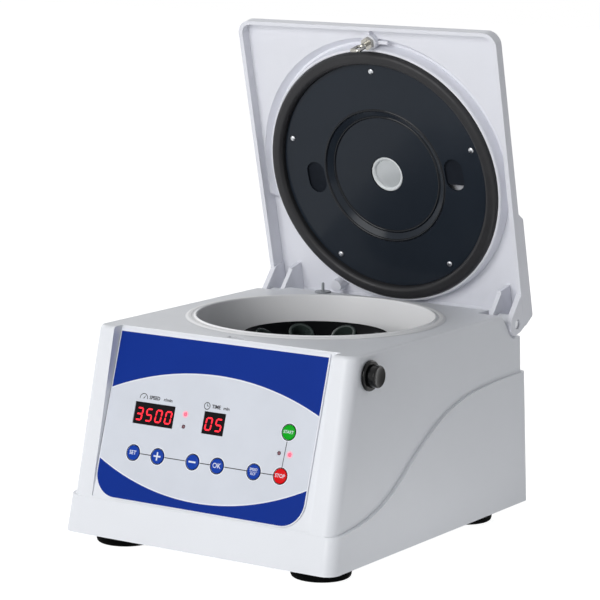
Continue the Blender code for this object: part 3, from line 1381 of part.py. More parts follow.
def make_striker():
    """Hexagon base, neck and wire loop of the striker."""
    seat = STRIKER_BOSS_TOP - FIT_GAP
    bm = bmesh.new()
    add_rod(bm, STRIKER_NUT_RADIUS, (STRIKER_X, seat - STRIKER_NUT, striker_z()),
            (STRIKER_X, seat, striker_z()), "Y", 6)
    striker = from_bmesh("lid_striker", bm, STEEL, LID)
    neck = rod("striker_neck", STRIKER_NECK_RADIUS,
               (STRIKER_X, STRIKER_ARCH + STRIKER_HALF_WIDTH, striker_z()),
               (STRIKER_X, seat - STRIKER_NUT / 2, striker_z()), "Y", TINY_STEPS, None, LID)
    combine(striker, neck, "UNION")
    return combine(striker, striker_ring(), "UNION")


def make_hinge_pins():
    """Headed pins through the lid's arms and the lugs of the body."""
    profile = pin_profile(LID_HALF_WIDTH - HINGE_PIN_SINK, ARM_RIB_INNER_X + FIT_GAP, 0.0)
    turned_across("hinge_pin", profile, SMALL_STEPS, STEEL, LID)


def make_release_collar():
    """Flanged sleeve in the side wall that guides the release button."""
    seat = upper_half_width(RELEASE_HEIGHT - RELEASE_FLANGE_RADIUS) + FIT_GAP
    bore = RELEASE_BUTTON_RADIUS + RELEASE_BORE_GAP
    r = RELEASE_FLANGE_RADIUS
    edge = RELEASE_FLANGE / 3
    profile = [(bore, seat + RELEASE_FLANGE), (r - edge, seat + RELEASE_FLANGE),
               (r, seat + RELEASE_FLANGE - edge),
               (r, seat), (RELEASE_BARREL_RADIUS, seat), (RELEASE_BARREL_RADIUS, seat - RELEASE_BARREL),
               (bore, seat - RELEASE_BARREL)]
    collar = turned("release_collar", profile, ROUND_STEPS, BLACK_PLASTIC, ring=True)
    collar.location = (0.0, release_y(), release_z())
    collar.rotation_euler.y = math.pi / 2
    return collar


def latch_low():
    """Underside of the latch bolt, just over the closed striker's bar."""
    return above_base(HINGE_HEIGHT - STRIKER_BAR + STRIKER_WIRE + FIT_GAP)


def latch_face_x(y, gap):
    """Sloping face where the rod pushes the latch bolt back."""
    corner_x = STRIKER_X + LATCH_BODY_WIDTH / 2 - LATCH_ROD_WIDTH
    corner_y = striker_y() + STRIKER_WIRE + LATCH_ROD_BEHIND
    return corner_x + y - corner_y + gap * math.sqrt(2)


def make_release_button():
    """Push button with its rod, which ends in a sloping face."""
    seat = upper_half_width(RELEASE_HEIGHT - RELEASE_FLANGE_RADIUS) + FIT_GAP
    face = seat + RELEASE_FLANGE + RELEASE_BUTTON_PROUD
    stop = seat - RELEASE_BARREL - RELEASE_STOP_GAP
    end = stop - RELEASE_STOP
    r = RELEASE_BUTTON_RADIUS
    rim = RELEASE_DISH / 2
    profile = [(0.0, face - RELEASE_DISH), (r / 2, face - RELEASE_DISH + rim / 2),
               (r - rim * 2, face - rim / 2),
               (r - rim, face), (r, face - rim), (r, stop), (RELEASE_STOP_RADIUS, stop),
               (RELEASE_STOP_RADIUS, end),
               (0.0, end)]
    button = turned("release_button", profile, ROUND_STEPS, BLACK_PLASTIC)
    button.location = (0.0, release_y(), release_z())
    button.rotation_euler.y = math.pi / 2
    low = striker_y() + STRIKER_WIRE + LATCH_ROD_BEHIND
    high = low + LATCH_ROD_WIDTH
    loop = [(end + RELEASE_STOP / 2, low), (end + RELEASE_STOP / 2, high),
            (latch_face_x(high, FIT_GAP), high), (latch_face_x(low, FIT_GAP), low)]
    rod_piece = plate("release_rod", [loop], latch_low(), latch_low() + LATCH_THICKNESS, "XY")
    return combine(button, rod_piece, "UNION")


def make_latch_bolt():
    """Sliding bolt whose tongue lies through the closed striker's loop."""
    x = STRIKER_X
    y = striker_y()
    half = LATCH_BODY_WIDTH / 2
    tongue = LATCH_TONGUE / 2
    front = y + STRIKER_WIRE + LATCH_ROD_BEHIND
    back = front + LATCH_BODY_LENGTH
    tip = y - STRIKER_WIRE - LATCH_TONGUE_PAST
    loop = [(x - tongue, tip), (x + tongue, tip), (x + tongue, front), (latch_face_x(front, 0.0), front),
            (x + half, front + x + half - latch_face_x(front, 0.0)), (x + half, back), (x - half, back),
            (x - half, front), (x - tongue, front)]
    return plate("latch_bolt", [loop], latch_low(), latch_low() + LATCH_THICKNESS, "XY", STEEL)


def make_latch_bracket():
    """Channel under the deck that guides the bolt, open where the rod enters."""
    x = STRIKER_X
    half = LATCH_BODY_WIDTH / 2 + FIT_GAP
    wall = LATCH_WALL
    front = striker_y() + STRIKER_WIRE + LATCH_ROD_BEHIND
    back = front + LATCH_BODY_LENGTH + RELEASE_TRAVEL + FIT_GAP
    low = latch_low() - FIT_GAP
    top = above_base(BODY_HEIGHT - WALL) - FIT_GAP
    plate_front = striker_y() - DECK_SLOT_WIDTH / 2 - LATCH_WALL
    side_front = front + LATCH_ROD_WIDTH + LATCH_WALL
    base = box("latch_bracket", (x - half - wall - LATCH_PLATE_MARGIN, plate_front, top - wall),
               (x + half + wall + LATCH_PLATE_MARGIN, back + wall, top), ZINC)
    combine(base, box("bracket_left", (x - half - wall, front, low - wall),
                      (x - half, back + wall, top - wall / 2)),
            "UNION")
    combine(base, box("bracket_right", (x + half, side_front, low - wall),
                      (x + half + wall, back + wall, top - wall / 2)),
            "UNION")
    combine(base, box("bracket_rear", (x - half - wall / 2, back, low - wall / 2),
                      (x + half + wall / 2, back + wall, top - wall / 2)), "UNION")
    combine(base, box("bracket_floor", (x - half - wall / 2, front + wall, low - wall),
                      (x + half + wall / 2, back + wall / 2, low)),
            "UNION")
    combine(base, from_bmesh("bracket_slot", striker_slot(top - wall * 2, top + wall)))
    return base


def make_switch():
    """Plunger, bush and body of the switch that senses the closed lid."""
    x = SWITCH_PIN_X
    y = switch_pin_y()
    seat = DECK_Z + FIT_GAP
    bore = SWITCH_PIN_RADIUS + FIT_GAP
    low = seat - SWITCH_BUSH_FLANGE - SWITCH_BUSH_LENGTH
    edge = SWITCH_BUSH_FLANGE / 2
    profile = [(bore, seat + SWITCH_BUSH_FLANGE), (SWITCH_BUSH_RADIUS - edge, seat + SWITCH_BUSH_FLANGE),
               (SWITCH_BUSH_RADIUS, seat + SWITCH_BUSH_FLANGE - edge), (SWITCH_BUSH_RADIUS, seat),
               (SWITCH_BUSH_BARREL, seat), (SWITCH_BUSH_BARREL, low), (bore, low)]
    bush = turned("lid_switch_bush", profile, SMALL_STEPS, WHITE_SHELL, ring=True)
    bush.location = (x, y, 0.0)
    top = DECK_Z + SWITCH_PIN_HEIGHT
    collar = low - FIT_GAP
    end = collar - SWITCH_COLLAR
    r = SWITCH_PIN_RADIUS
    profile = [(0.0, top), (r / 2, top), (r, top - r / 2), (r, collar), (SWITCH_COLLAR_RADIUS, collar),
               (SWITCH_COLLAR_RADIUS, end), (0.0, end)]
    pin = turned("lid_switch_pin", profile, TINY_STEPS, STEEL)
    pin.location = (x, y, 0.0)
    body_top = end - SWITCH_PIN_TRAVEL - FIT_GAP
    half = SWITCH_BODY_LENGTH / 2
    back = y + SWITCH_COLLAR_RADIUS + FIT_GAP
    front = back - SWITCH_BODY_WIDTH
    body = box("lid_switch_body", (x - half, front, body_top - SWITCH_BODY_HEIGHT),
               (x + half, back, body_top),
               BLACK_PLASTIC)
    under_deck = above_base(BODY_HEIGHT - WALL) - FIT_GAP
    post = box("switch_post", (x - half, front, body_top - SWITCH_BODY_HEIGHT / 2),
               (x - half + SWITCH_POST, back, under_deck))
    combine(body, post, "UNION")


def dish_height(radius):
    """Height of the rotor's dished face at a radius."""
    return ROTOR_RIM_Z - (ROTOR_RIM_RADIUS - radius) * math.tan(ROTOR_LEAN)


def hub_top():
    return dish_height(ROTOR_HUB_RADIUS) + ROTOR_HUB_RISE


def make_rotor_head():
    """Dished disc with leaning bores, square to the sleeves in them."""
    rim = ROTOR_RIM_RADIUS
    round_ = ROTOR_RIM_ROUND
    sink = ROTOR_THICKNESS / math.cos(ROTOR_LEAN)
    out = ROTOR_THICKNESS * math.sin(ROTOR_LEAN)
    down = ROTOR_THICKNESS * math.cos(ROTOR_LEAN)
    hub = ROTOR_HUB_RADIUS
    bore = SHAFT_RADIUS + FIT_GAP
    foot = dish_height(hub) - sink
    profile = [(bore, hub_top()), (hub, hub_top()), (hub, dish_height(hub)),
               (rim - round_, dish_height(rim - round_)),
               (rim, ROTOR_RIM_Z), (rim + round_, ROTOR_RIM_Z - round_), (rim + out, ROTOR_RIM_Z - down),
               (hub, foot), (hub, foot - ROTOR_HUB_BELOW), (bore, foot - ROTOR_HUB_BELOW)]
    head = turned("rotor_head", profile, FINE_STEPS, ROTOR_BLACK, ROTOR, ring=True)
    combine(head, leaning_rods("sleeve_bores", SLEEVE_BORE + SLEEVE_WALL + FIT_GAP, -SLEEVE_LENGTH))
    return combine(head, leaning_rods("lip_seats", SLEEVE_LIP + FIT_GAP, 0.0))


def sleeve_frames():
    """Frame of each sleeve: its origin in the dished face and Z up its axis."""
    frames = []
    for i in range(SLEEVE_COUNT):
        turn = Matrix.Rotation(math.radians(SLEEVE_TURN_DEGREES) + i * math.tau / SLEEVE_COUNT, 4, "Z")
        place = Matrix.Translation((SLEEVE_CIRCLE, 0.0, dish_height(SLEEVE_CIRCLE)))
        frames.append(turn @ place @ Matrix.Rotation(-ROTOR_LEAN, 4, "Y"))
    return frames


def add_leaning_rod(bm, radius, frame, low, high):
    place = frame @ Matrix.Translation((0.0, 0.0, (low + high) / 2))
    bmesh.ops.create_cone(bm, cap_ends=True, segments=SMALL_STEPS, radius1=radius, radius2=radius,
                          depth=high - low, matrix=place)


def leaning_rods(name, radius, low):
    """One cutter at each sleeve, from a depth to past the dished face."""
    bm = bmesh.new()
    for frame in sleeve_frames():
        add_leaning_rod(bm, radius, frame, low, OVERRUN)
    return from_bmesh(name, bm, None, ROTOR)


def make_sleeves():
    """Tube sleeves with a lip at the mouth and a round closed end."""
    bore = SLEEVE_BORE
    outer = bore + SLEEVE_WALL
    lip = SLEEVE_LIP
    top = SLEEVE_LIP_HEIGHT
    seat = FIT_GAP
    end = -SLEEVE_LENGTH
    edge = SLEEVE_WALL / 2
    inside = arc(bore, -90.0, 0.0, 4, 0.0, end + outer)
    outside = arc(outer, 0.0, -90.0, 4, 0.0, end + outer)
    profile = inside + [(bore, top - edge), (bore + edge, top), (lip - edge, top), (lip, top - edge),
                        (lip, seat),
                        (outer, seat)] + outside
    for i, frame in enumerate(sleeve_frames()):
        sleeve = turned("tube_sleeve_" + str(i + 1), profile, SLEEVE_STEPS, SLEEVE_BLACK, ROTOR)
        sleeve.matrix_local = frame


def make_rotor_nut():
    """Hexagon nut that holds the rotor on its shaft."""
    low = hub_top() + FIT_GAP
    nut = rod("rotor_nut", NUT_RADIUS, (0.0, 0.0, low), (0.0, 0.0, low + NUT_HEIGHT), "Z", 6, STEEL, ROTOR)
    return combine(nut, rod("nut_bore", SHAFT_RADIUS + FIT_GAP, (0.0, 0.0, low - OVERRUN),
                            (0.0, 0.0, low + NUT_HEIGHT + OVERRUN), "Z", SMALL_STEPS, None, ROTOR))


def make_shaft():
    low = above_base(MOTOR_HIGH + MOTOR_BOSS_HEIGHT) - SHAFT_IN_MOTOR
    high = hub_top() + FIT_GAP + NUT_HEIGHT + SHAFT_TOP_RISE
    return rod("motor_shaft", SHAFT_RADIUS, (0.0, 0.0, low), (0.0, 0.0, high), "Z", SMALL_STEPS, STEEL, ROTOR)


def make_motor():
    """Motor with a foot flange and a bearing boss round its shaft."""
    low = above_base(MOTOR_PLATE_LOW + MOTOR_PLATE) + FIT_GAP
    high = above_base(MOTOR_HIGH)
    boss = high + MOTOR_BOSS_HEIGHT
    bore = SHAFT_RADIUS + FIT_GAP
    deep = boss - SHAFT_IN_MOTOR - FIT_GAP
    edge = MOTOR_BOSS_HEIGHT / 2
    profile = [(bore, boss), (MOTOR_BOSS_RADIUS, boss), (MOTOR_BOSS_RADIUS, high),
               (MOTOR_RADIUS - edge, high),
               (MOTOR_RADIUS, high - edge), (MOTOR_RADIUS, low + MOTOR_FLANGE),
               (MOTOR_FLANGE_RADIUS, low + MOTOR_FLANGE),
               (MOTOR_FLANGE_RADIUS, low), (0.0, low)]
    profile = [(0.0, deep), (bore, deep)] + profile
    motor = turned("motor_body", profile, ROUND_STEPS, MOTOR_GREY)
    motor.location = (0.0, CHAMBER_Y, 0.0)
    low = above_base(MOTOR_PLATE_LOW)
    plate_piece = rod("motor_plate", MOTOR_PLATE_RADIUS, (0.0, CHAMBER_Y, low),
                      (0.0, CHAMBER_Y, low + MOTOR_PLATE),
                      "Z", ROUND_STEPS, ZINC)
    return plate_piece


def make_dampers():
    """Rubber mounts between the base plate and the motor's plate."""
    low = UNDERSIDE + BASE_PLATE + FIT_GAP
    high = above_base(MOTOR_PLATE_LOW) - FIT_GAP
    middle = (low + high) / 2
    profile = [(0.0, high), (DAMPER_RADIUS, high), (DAMPER_WAIST, middle), (DAMPER_RADIUS, low), (0.0, low)]
    for i in range(DAMPER_COUNT):
        turn = math.pi / 2 + i * math.tau / DAMPER_COUNT
        damper = turned("motor_damper_" + str(i + 1), profile, SMALL_STEPS, RUBBER)
        damper.location = (DAMPER_CIRCLE * math.cos(turn), CHAMBER_Y + DAMPER_CIRCLE * math.sin(turn), 0.0)


def make_inlet():
    """Mains inlet with three pins in its socket, let into the rear wall."""
    x = INLET_X
    z = INLET_HEIGHT
    seat = FIT_GAP
    inlet = box("power_inlet", (x - INLET_FLANGE_WIDTH / 2, seat, z - INLET_FLANGE_TALL / 2),
                (x + INLET_FLANGE_WIDTH / 2, seat + INLET_FLANGE, z + INLET_FLANGE_TALL / 2), BLACK_PLASTIC,
                REAR)
    combine(inlet, box("inlet_body", (x - INLET_WIDTH / 2, -INLET_BODY, z - INLET_TALL / 2),
                       (x + INLET_WIDTH / 2, seat + INLET_FLANGE / 2, z + INLET_TALL / 2), None, REAR),
                       "UNION")
    front = seat + INLET_FLANGE
    floor = front - INLET_SOCKET_DEPTH
    combine(inlet, box("inlet_socket", (x - INLET_SOCKET_WIDTH / 2, floor, z - INLET_SOCKET_TALL / 2),
                       (x + INLET_SOCKET_WIDTH / 2, front + OVERRUN, z + INLET_SOCKET_TALL / 2), None, REAR))
    bm = bmesh.new()
    for across, up in ((-INLET_PIN_PITCH, 0.0), (0.0, INLET_PIN_TALL / 2), (INLET_PIN_PITCH, 0.0)):
        add_box(bm, (x + across - INLET_PIN_WIDTH / 2, floor - INLET_PIN_SHORT, z + up - INLET_PIN_TALL / 2),
                (x + across + INLET_PIN_WIDTH / 2, front - INLET_PIN_SHORT, z + up + INLET_PIN_TALL / 2))
    return combine(inlet, from_bmesh("inlet_pins", bm, None, REAR), "UNION")


def make_rocker():
    """Rocker switch: a frame in the rear wall and the rocker in it."""
    x = ROCKER_X
    z = INLET_HEIGHT
    lip = ROCKER_FRAME_LIP
    wide = ROCKER_FRAME_WIDTH / 2
    tall = ROCKER_FRAME_TALL / 2
    frame = box("rocker_frame", (x - wide - lip, FIT_GAP, z - tall - lip),
                (x + wide + lip, FIT_GAP + lip, z + tall + lip),
                BLACK_PLASTIC, REAR)
    combine(frame, box("rocker_frame_body", (x - wide, -ROCKER_BODY, z - tall),
                       (x + wide, FIT_GAP + lip / 2, z + tall),
                       None, REAR), "UNION")
    inner_wide = wide - ROCKER_FRAME_WALL
    inner_tall = tall - ROCKER_FRAME_WALL
    combine(frame, box("rocker_room", (x - inner_wide, ROCKER_FRAME_WALL - ROCKER_BODY, z - inner_tall),
                       (x + inner_wide, FIT_GAP + lip + OVERRUN, z + inner_tall), None, REAR))
    swing = math.radians(ROCKER_SWING_DEGREES)
    reach = inner_tall - ROCKER_GAP
    half = inner_wide - ROCKER_GAP
    proud = ROCKER_PROUD
    valley = proud - reach * math.tan(swing)
    loop = [(-lip, reach), (proud, reach), (valley, 0.0), (proud, -reach), (-lip, -reach)]
    loop += arc(ROCKER_BACK_RADIUS, 210.0, 150.0, 4)
    rocker = plate("power_rocker", [loop], -half, half, "YZ", ROCKER_BLACK, REAR)
    rocker.location = (x, FIT_GAP, z)
    rocker.rotation_euler.x = swing
    return rocker


PANEL = empty("panel_frame", (0.0, from_front(PANEL_FRONT_SET), UNDERSIDE), -PANEL_LEAN)
REAR = empty("rear_frame", (0.0, from_front(BODY_DEPTH), UNDERSIDE), math.atan(REAR_LEAN / BODY_HEIGHT))
LID = empty("lid_frame", (0.0, HINGE_Y, HINGE_Z), LID_LEAN)
ROTOR = empty("rotor_frame", (0.0, CHAMBER_Y, 0.0))

make_housing()
make_base_plate()
make_feet()
make_bowl()
make_label()
make_keys()
make_lamps()
make_displays()
make_board()
make_lid_shell()
make_liner()
make_gasket()
make_liner_screws()
make_window()
make_striker()
make_hinge_pins()
make_release_collar()
make_release_button()
make_latch_bolt()
make_latch_bracket()
make_switch()
make_rotor_head()
make_sleeves()
make_rotor_nut()
make_shaft()
make_motor()
make_dampers()
make_inlet()
make_rocker()
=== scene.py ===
import math

import bmesh
import bpy
from mathutils import Matrix, Vector


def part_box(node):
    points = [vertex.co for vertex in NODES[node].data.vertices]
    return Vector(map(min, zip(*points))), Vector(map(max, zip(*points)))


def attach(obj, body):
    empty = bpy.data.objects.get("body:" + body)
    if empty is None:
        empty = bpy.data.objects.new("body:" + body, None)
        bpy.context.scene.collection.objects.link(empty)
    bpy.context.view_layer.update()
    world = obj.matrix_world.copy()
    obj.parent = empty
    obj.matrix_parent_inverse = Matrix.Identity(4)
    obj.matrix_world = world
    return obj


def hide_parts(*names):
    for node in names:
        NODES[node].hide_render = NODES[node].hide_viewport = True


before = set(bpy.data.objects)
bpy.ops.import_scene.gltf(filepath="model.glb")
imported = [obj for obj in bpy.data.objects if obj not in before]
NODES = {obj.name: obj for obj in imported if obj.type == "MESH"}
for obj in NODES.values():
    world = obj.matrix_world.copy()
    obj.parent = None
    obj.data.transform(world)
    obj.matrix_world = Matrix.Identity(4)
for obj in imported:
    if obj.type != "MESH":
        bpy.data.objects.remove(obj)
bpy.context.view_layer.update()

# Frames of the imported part: the sloping panel, the open lid and the rotor.
PANEL = Matrix.Translation((0.0, -0.1684, 0.012)) @ Matrix.Rotation(-math.atan(0.302), 4, "X")
LID = Matrix.Translation((0.0, 0.13683, 0.17294)) @ Matrix.Rotation(math.radians(13.94), 4, "X")
ROTOR = Matrix.Translation((0.0, 0.0157, 0.0))
FACING = Matrix.Rotation(math.pi / 2, 4, "X")
LID_MIDDLE = 0.1205


# Materials

def srgb(red, green, blue):
    """A colour as it is seen on the object, as the shader wants it."""
    out = []
    for value in (red, green, blue):
        value /= 255.0
        out.append(value / 12.92 if value <= 0.04045 else ((value + 0.055) / 1.055) ** 2.4)
    return (*out, 1.0)


def shaded(colour, factor):
    return (*[min(1.0, c * factor) for c in colour[:3]], 1.0)


class Finish:
    """A material being made: its nodes, its shader and the coordinates of its patterns."""

    def __init__(self, name, colour, roughness, metallic=0.0, stretch=(1.0, 1.0, 1.0)):
        self.mat = bpy.data.materials.new(name)
        self.mat.use_nodes = True
        self.mat.diffuse_color = colour
        self.tree = self.mat.node_tree
        self.shader = self.tree.nodes["Principled BSDF"]
        self.colour = colour
        self.set("Base Color", colour)
        self.set("Roughness", roughness)
        self.set("Metallic", metallic)
        self.roughness = roughness
        place = self.tree.nodes.new("ShaderNodeTexCoord")
        mapping = self.tree.nodes.new("ShaderNodeMapping")
        mapping.inputs["Scale"].default_value = stretch
        self.join(place.outputs["Object"], mapping.inputs["Vector"])
        self.place = mapping.outputs["Vector"]
        self.normal = None

    def set(self, socket, value):
        self.shader.inputs[socket].default_value = value
        return self

    def join(self, start, end):
        self.tree.links.new(start, end)

    def noise(self, scale, detail=3.0, roughness=0.55):
        node = self.tree.nodes.new("ShaderNodeTexNoise")
        node.inputs["Scale"].default_value = scale
        node.inputs["Detail"].default_value = detail
        node.inputs["Roughness"].default_value = roughness
        self.join(self.place, node.inputs["Vector"])
        return node.outputs["Fac"]

    def cells(self, scale):
        node = self.tree.nodes.new("ShaderNodeTexVoronoi")
        node.inputs["Scale"].default_value = scale
        self.join(self.place, node.inputs["Vector"])
        return node.outputs["Distance"]

    def between(self, factor, low, high, start=0.35, end=0.65):
        node = self.tree.nodes.new("ShaderNodeMapRange")
        node.inputs["From Min"].default_value = start
        node.inputs["From Max"].default_value = end
        node.inputs["To Min"].default_value = low
        node.inputs["To Max"].default_value = high
        self.join(factor, node.inputs["Value"])
        return node.outputs["Result"]

    def clouded(self, scale, amount, detail=4.0):
        """Colour that drifts a little lighter and darker over the piece."""
        mix = self.tree.nodes.new("ShaderNodeMix")
        mix.data_type = "RGBA"
        self.join(self.between(self.noise(scale, detail), 0.0, 1.0), mix.inputs["Factor"])
        mix.inputs["A"].default_value = shaded(self.colour, 1.0 - amount)
        mix.inputs["B"].default_value = shaded(self.colour, 1.0 + amount)
        self.join(mix.outputs["Result"], self.shader.inputs["Base Color"])
        return self

    def worn(self, scale, spread, detail=5.0):
        """Gloss that varies with handling and moulding."""
        value = self.between(self.noise(scale, detail), self.roughness - spread, self.roughness + spread)
        self.join(value, self.shader.inputs["Roughness"])
        return self

    def bumped(self, height, depth, strength=1.0):
        node = self.tree.nodes.new("ShaderNodeBump")
        node.inputs["Distance"].default_value = depth
        node.inputs["Strength"].default_value = strength
        self.join(height, node.inputs["Height"])
        if self.normal is not None:
            self.join(self.normal, node.inputs["Normal"])
        self.normal = node.outputs["Normal"]
        self.join(self.normal, self.shader.inputs["Normal"])
        return self

    def grained(self, scale, depth, detail=2.0):
        return self.bumped(self.noise(scale, detail), depth)

    def pebbled(self, scale, depth):
        return self.bumped(self.cells(scale), depth)

    def glowing(self, colour, strength):
        self.set("Emission Color", colour)
        self.set("Emission Strength", strength)
        return self


WHITE = srgb(232, 234, 238)
LABEL_BLUE = srgb(14, 49, 141)


def moulded(name, colour, roughness, grain=1400.0, depth=0.00002, cloud=0.012):
    """Injection-moulded plastic with a fine spark-eroded grain."""
    skin = Finish(name, colour, roughness)
    skin.clouded(9.0, cloud).worn(60.0, 0.035)
    skin.grained(grain, depth).grained(14.0, 0.00012, 1.0)
    return skin


def printed(name, colour, roughness=0.40, gloss=0.3):
    """Printed polyester film with the soft unevenness of the label's glue."""
    film = Finish(name, colour, roughness)
    film.clouded(22.0, 0.02).worn(90.0, 0.04)
    film.grained(2600.0, 0.000006).grained(35.0, 0.00004, 1.0)
    film.set("Specular IOR Level", gloss)
    return film


def brushed(name, colour, roughness, stretch=(90.0, 90.0, 1400.0)):
    """Metal with fine drawn lines along its length."""
    metal = Finish(name, colour, roughness, 1.0, stretch)
    metal.clouded(1.0, 0.06).worn(1.6, 0.07)
    metal.grained(1.0, 0.000012)
    return metal


SHELL = moulded("shell_white_grained", WHITE, 0.42)
LID_SKIN = moulded("lid_white_grained", srgb(233, 234, 240), 0.36)
BOWL_WHITE = moulded("bowl_white_satin", srgb(241, 241, 242), 0.36, 900.0, 0.00001)
BOWL_WHITE.set("Specular IOR Level", 0.35)
SWITCH_GREY = moulded("switch_grey_satin", srgb(138, 142, 146), 0.34, 900.0, 0.00001)
FILM_WHITE = printed("label_white_film", srgb(233, 235, 241))
FILM_PALE = printed("label_pale_field", srgb(214, 218, 226), 0.38)
FILM_BLUE = printed("label_blue_ink", LABEL_BLUE, 0.46, 0.06)
FILM_GREY = printed("label_grey_ink", srgb(48, 50, 57), 0.4, 0.1)
FILM_DARK = printed("label_dark_ink", srgb(14, 15, 20), 0.4, 0.06)
FILM_HALO = printed("label_key_halo", srgb(236, 239, 246))
INK_WHITE = printed("key_white_ink", srgb(226, 230, 240))
KEY_BLUE = printed("key_blue_dome", srgb(20, 64, 166), 0.30, 0.08)
KEY_GREEN = printed("key_green_dome", srgb(4, 170, 26), 0.30, 0.08)
KEY_RED = printed("key_red_dome", srgb(226, 12, 18), 0.30, 0.08)
LAMP_LIT = Finish("lamp_lit_red", srgb(236, 96, 118), 0.18).clouded(300.0, 0.04)
LAMP_LIT.glowing(srgb(255, 70, 96), 1.1)
LAMP_HALO = Finish("lamp_red_glow", srgb(240, 190, 204), 0.5).clouded(200.0, 0.03)
LAMP_HALO.glowing(srgb(255, 120, 150), 0.12)
LAMP_OFF = Finish("lamp_dark_lens", srgb(112, 62, 74), 0.16).clouded(300.0, 0.08)
WINDOW_BLACK = Finish("display_window_black", srgb(12, 6, 10), 0.12).clouded(60.0, 0.2).worn(40.0, 0.03)
WINDOW_BLACK.set("Specular IOR Level", 0.12)
DIGIT_LIT = Finish("digit_lit_red", srgb(236, 42, 58), 0.3).clouded(400.0, 0.05)
DIGIT_LIT.glowing(srgb(255, 46, 56), 1.3)
DIGIT_LIT.set("Specular IOR Level", 0.0)
DIGIT_OFF = Finish("digit_unlit", srgb(34, 10, 14), 0.3).clouded(400.0, 0.1)
DIGIT_OFF.set("Specular IOR Level", 0.05)
LINER = moulded("liner_dark_satin", srgb(37, 43, 51), 0.17, 1800.0, 0.000004, 0.05)
LINER.set("Specular IOR Level", 0.14)
LINER_GLOSS = moulded("liner_rolled_edge", srgb(17, 21, 27), 0.10, 1800.0, 0.000003, 0.05)
LINER_GLOSS.set("Specular IOR Level", 0.24)
GASKET = Finish("gasket_soft_rubber", srgb(46, 46, 48), 0.38).clouded(30.0, 0.10).worn(80.0, 0.06)
GASKET.grained(1500.0, 0.00003)
GASKET.set("Specular IOR Level", 0.22)
# Painted shade: the dark pads behind the liner's slots stand for the shade inside the slots.
SLOT_PAINTED_SHADE = Finish("slot_pad_painted_shade", srgb(29, 33, 40), 0.8).clouded(40.0, 0.12).worn(90.0, 0.05)
SLOT_PAINTED_SHADE.grained(2200.0, 0.00006)
SLOT_PAINTED_SHADE.set("Specular IOR Level", 0.08)
FOOT_RUBBER = Finish("foot_black_rubber", srgb(4, 5, 5), 0.8).clouded(25.0, 0.15).worn(70.0, 0.08)
FOOT_RUBBER.grained(1200.0, 0.00005)
FOOT_RUBBER.set("Specular IOR Level", 0.04)
STEEL = brushed("steel_bright", srgb(168, 166, 160), 0.20)
STEEL_TURNED = brushed("steel_turned", srgb(186, 188, 192), 0.28, (1400.0, 1400.0, 60.0))
ZINC = brushed("zinc_plated_sheet", srgb(170, 174, 180), 0.38, (30.0, 500.0, 30.0))
ZINC.pebbled(160.0, 0.00001)
KNOB_GLOSS = moulded("knob_black_gloss", srgb(8, 9, 11), 0.12, 1800.0, 0.000004, 0.05)
KNOB_GLOSS.set("Specular IOR Level", 0.22)
BLACK_PLASTIC = moulded("black_plastic_grained", srgb(26, 27, 30), 0.36, 1600.0, 0.00002, 0.08)
ROTOR_BLACK = moulded("rotor_black_anodised", srgb(9, 10, 12), 0.42, 2200.0, 0.000008, 0.08)
ROTOR_BLACK.set("Specular IOR Level", 0.03)
SLEEVE = moulded("sleeve_grey_green", srgb(52, 62, 59), 0.26, 1500.0, 0.00001, 0.08)
SLEEVE.set("Specular IOR Level", 0.5)
MOTOR = moulded("motor_cast_grey", srgb(120, 124, 130), 0.50, 500.0, 0.00006, 0.05)
BOARD = moulded("board_green_lacquer", srgb(22, 84, 48), 0.32, 300.0, 0.00002, 0.10)
ROCKER = moulded("rocker_black_gloss", srgb(18, 18, 20), 0.24, 1800.0, 0.000008, 0.06)
CLEAR = Finish("window_clear", srgb(206, 210, 212), 0.10).clouded(50.0, 0.02).worn(60.0, 0.03)
CLEAR.set("Transmission Weight", 0.25)
WINDOW_RIM = moulded("window_rim_milky", srgb(226, 230, 231), 0.14, 900.0, 0.000004)


# Making pieces

FLAT_TURN = math.radians(0.6)
SHARP_TURN = math.radians(40.0)
WELD_DISTANCE = 0.000002
PRINT_THICK = 0.00004


def piece_from(name, mesh, finish, body, replaced=()):
    """A finished piece at the origin that rides with a body of the part."""
    mesh.materials.clear()
    mesh.materials.append(finish.mat)
    obj = bpy.data.objects.new(name, mesh)
    bpy.context.scene.collection.objects.link(obj)
    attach(obj, body)
    if replaced:
        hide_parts(*replaced)
    return obj


def applied(obj):
    """The mesh of an object with its modifiers worked in. The object is removed."""
    graph = bpy.context.evaluated_depsgraph_get()
    mesh = bpy.data.meshes.new_from_object(obj.evaluated_get(graph), depsgraph=graph)
    mesh.transform(obj.matrix_world)
    data = obj.data
    bpy.data.objects.remove(obj)
    if isinstance(data, bpy.types.Curve):
        bpy.data.curves.remove(data)
    return mesh


def loose(name, data):
    obj = bpy.data.objects.new(name, data)
    bpy.context.scene.collection.objects.link(obj)
    return obj


def softened(mesh, width, angle=34.0, segments=2, smooth=32.0):
    """Small rounds on a mesh's hard edges, and even shading across them."""
    mesh.shade_smooth()
    obj = loose("softening", mesh)
    bevel = obj.modifiers.new("edge", "BEVEL")
    bevel.width = width
    bevel.segments = segments
    bevel.limit_method = "ANGLE"
    bevel.angle_limit = math.radians(angle)
    bevel.miter_outer = "MITER_ARC"
    bevel.use_clamp_overlap = True
    rounded_mesh = applied(obj)
    rounded_mesh.set_sharp_from_angle(angle=math.radians(smooth))
    obj = loose("evening", rounded_mesh)
    even = obj.modifiers.new("even", "WEIGHTED_NORMAL")
    even.keep_sharp = True
    even.weight = 60
    return applied(obj)


def merged_copy(node):
    """A copy of a node's mesh, welded, with its flat faces made whole."""
    bm = bmesh.new()
    bm.from_mesh(NODES[node].data)
    bmesh.ops.remove_doubles(bm, verts=bm.verts, dist=WELD_DISTANCE)
    bmesh.ops.dissolve_limit(bm, angle_limit=FLAT_TURN, verts=bm.verts, edges=bm.edges)
    mesh = bpy.data.meshes.new(node + "_copy")
    bm.to_mesh(mesh)
    bm.free()
    return mesh


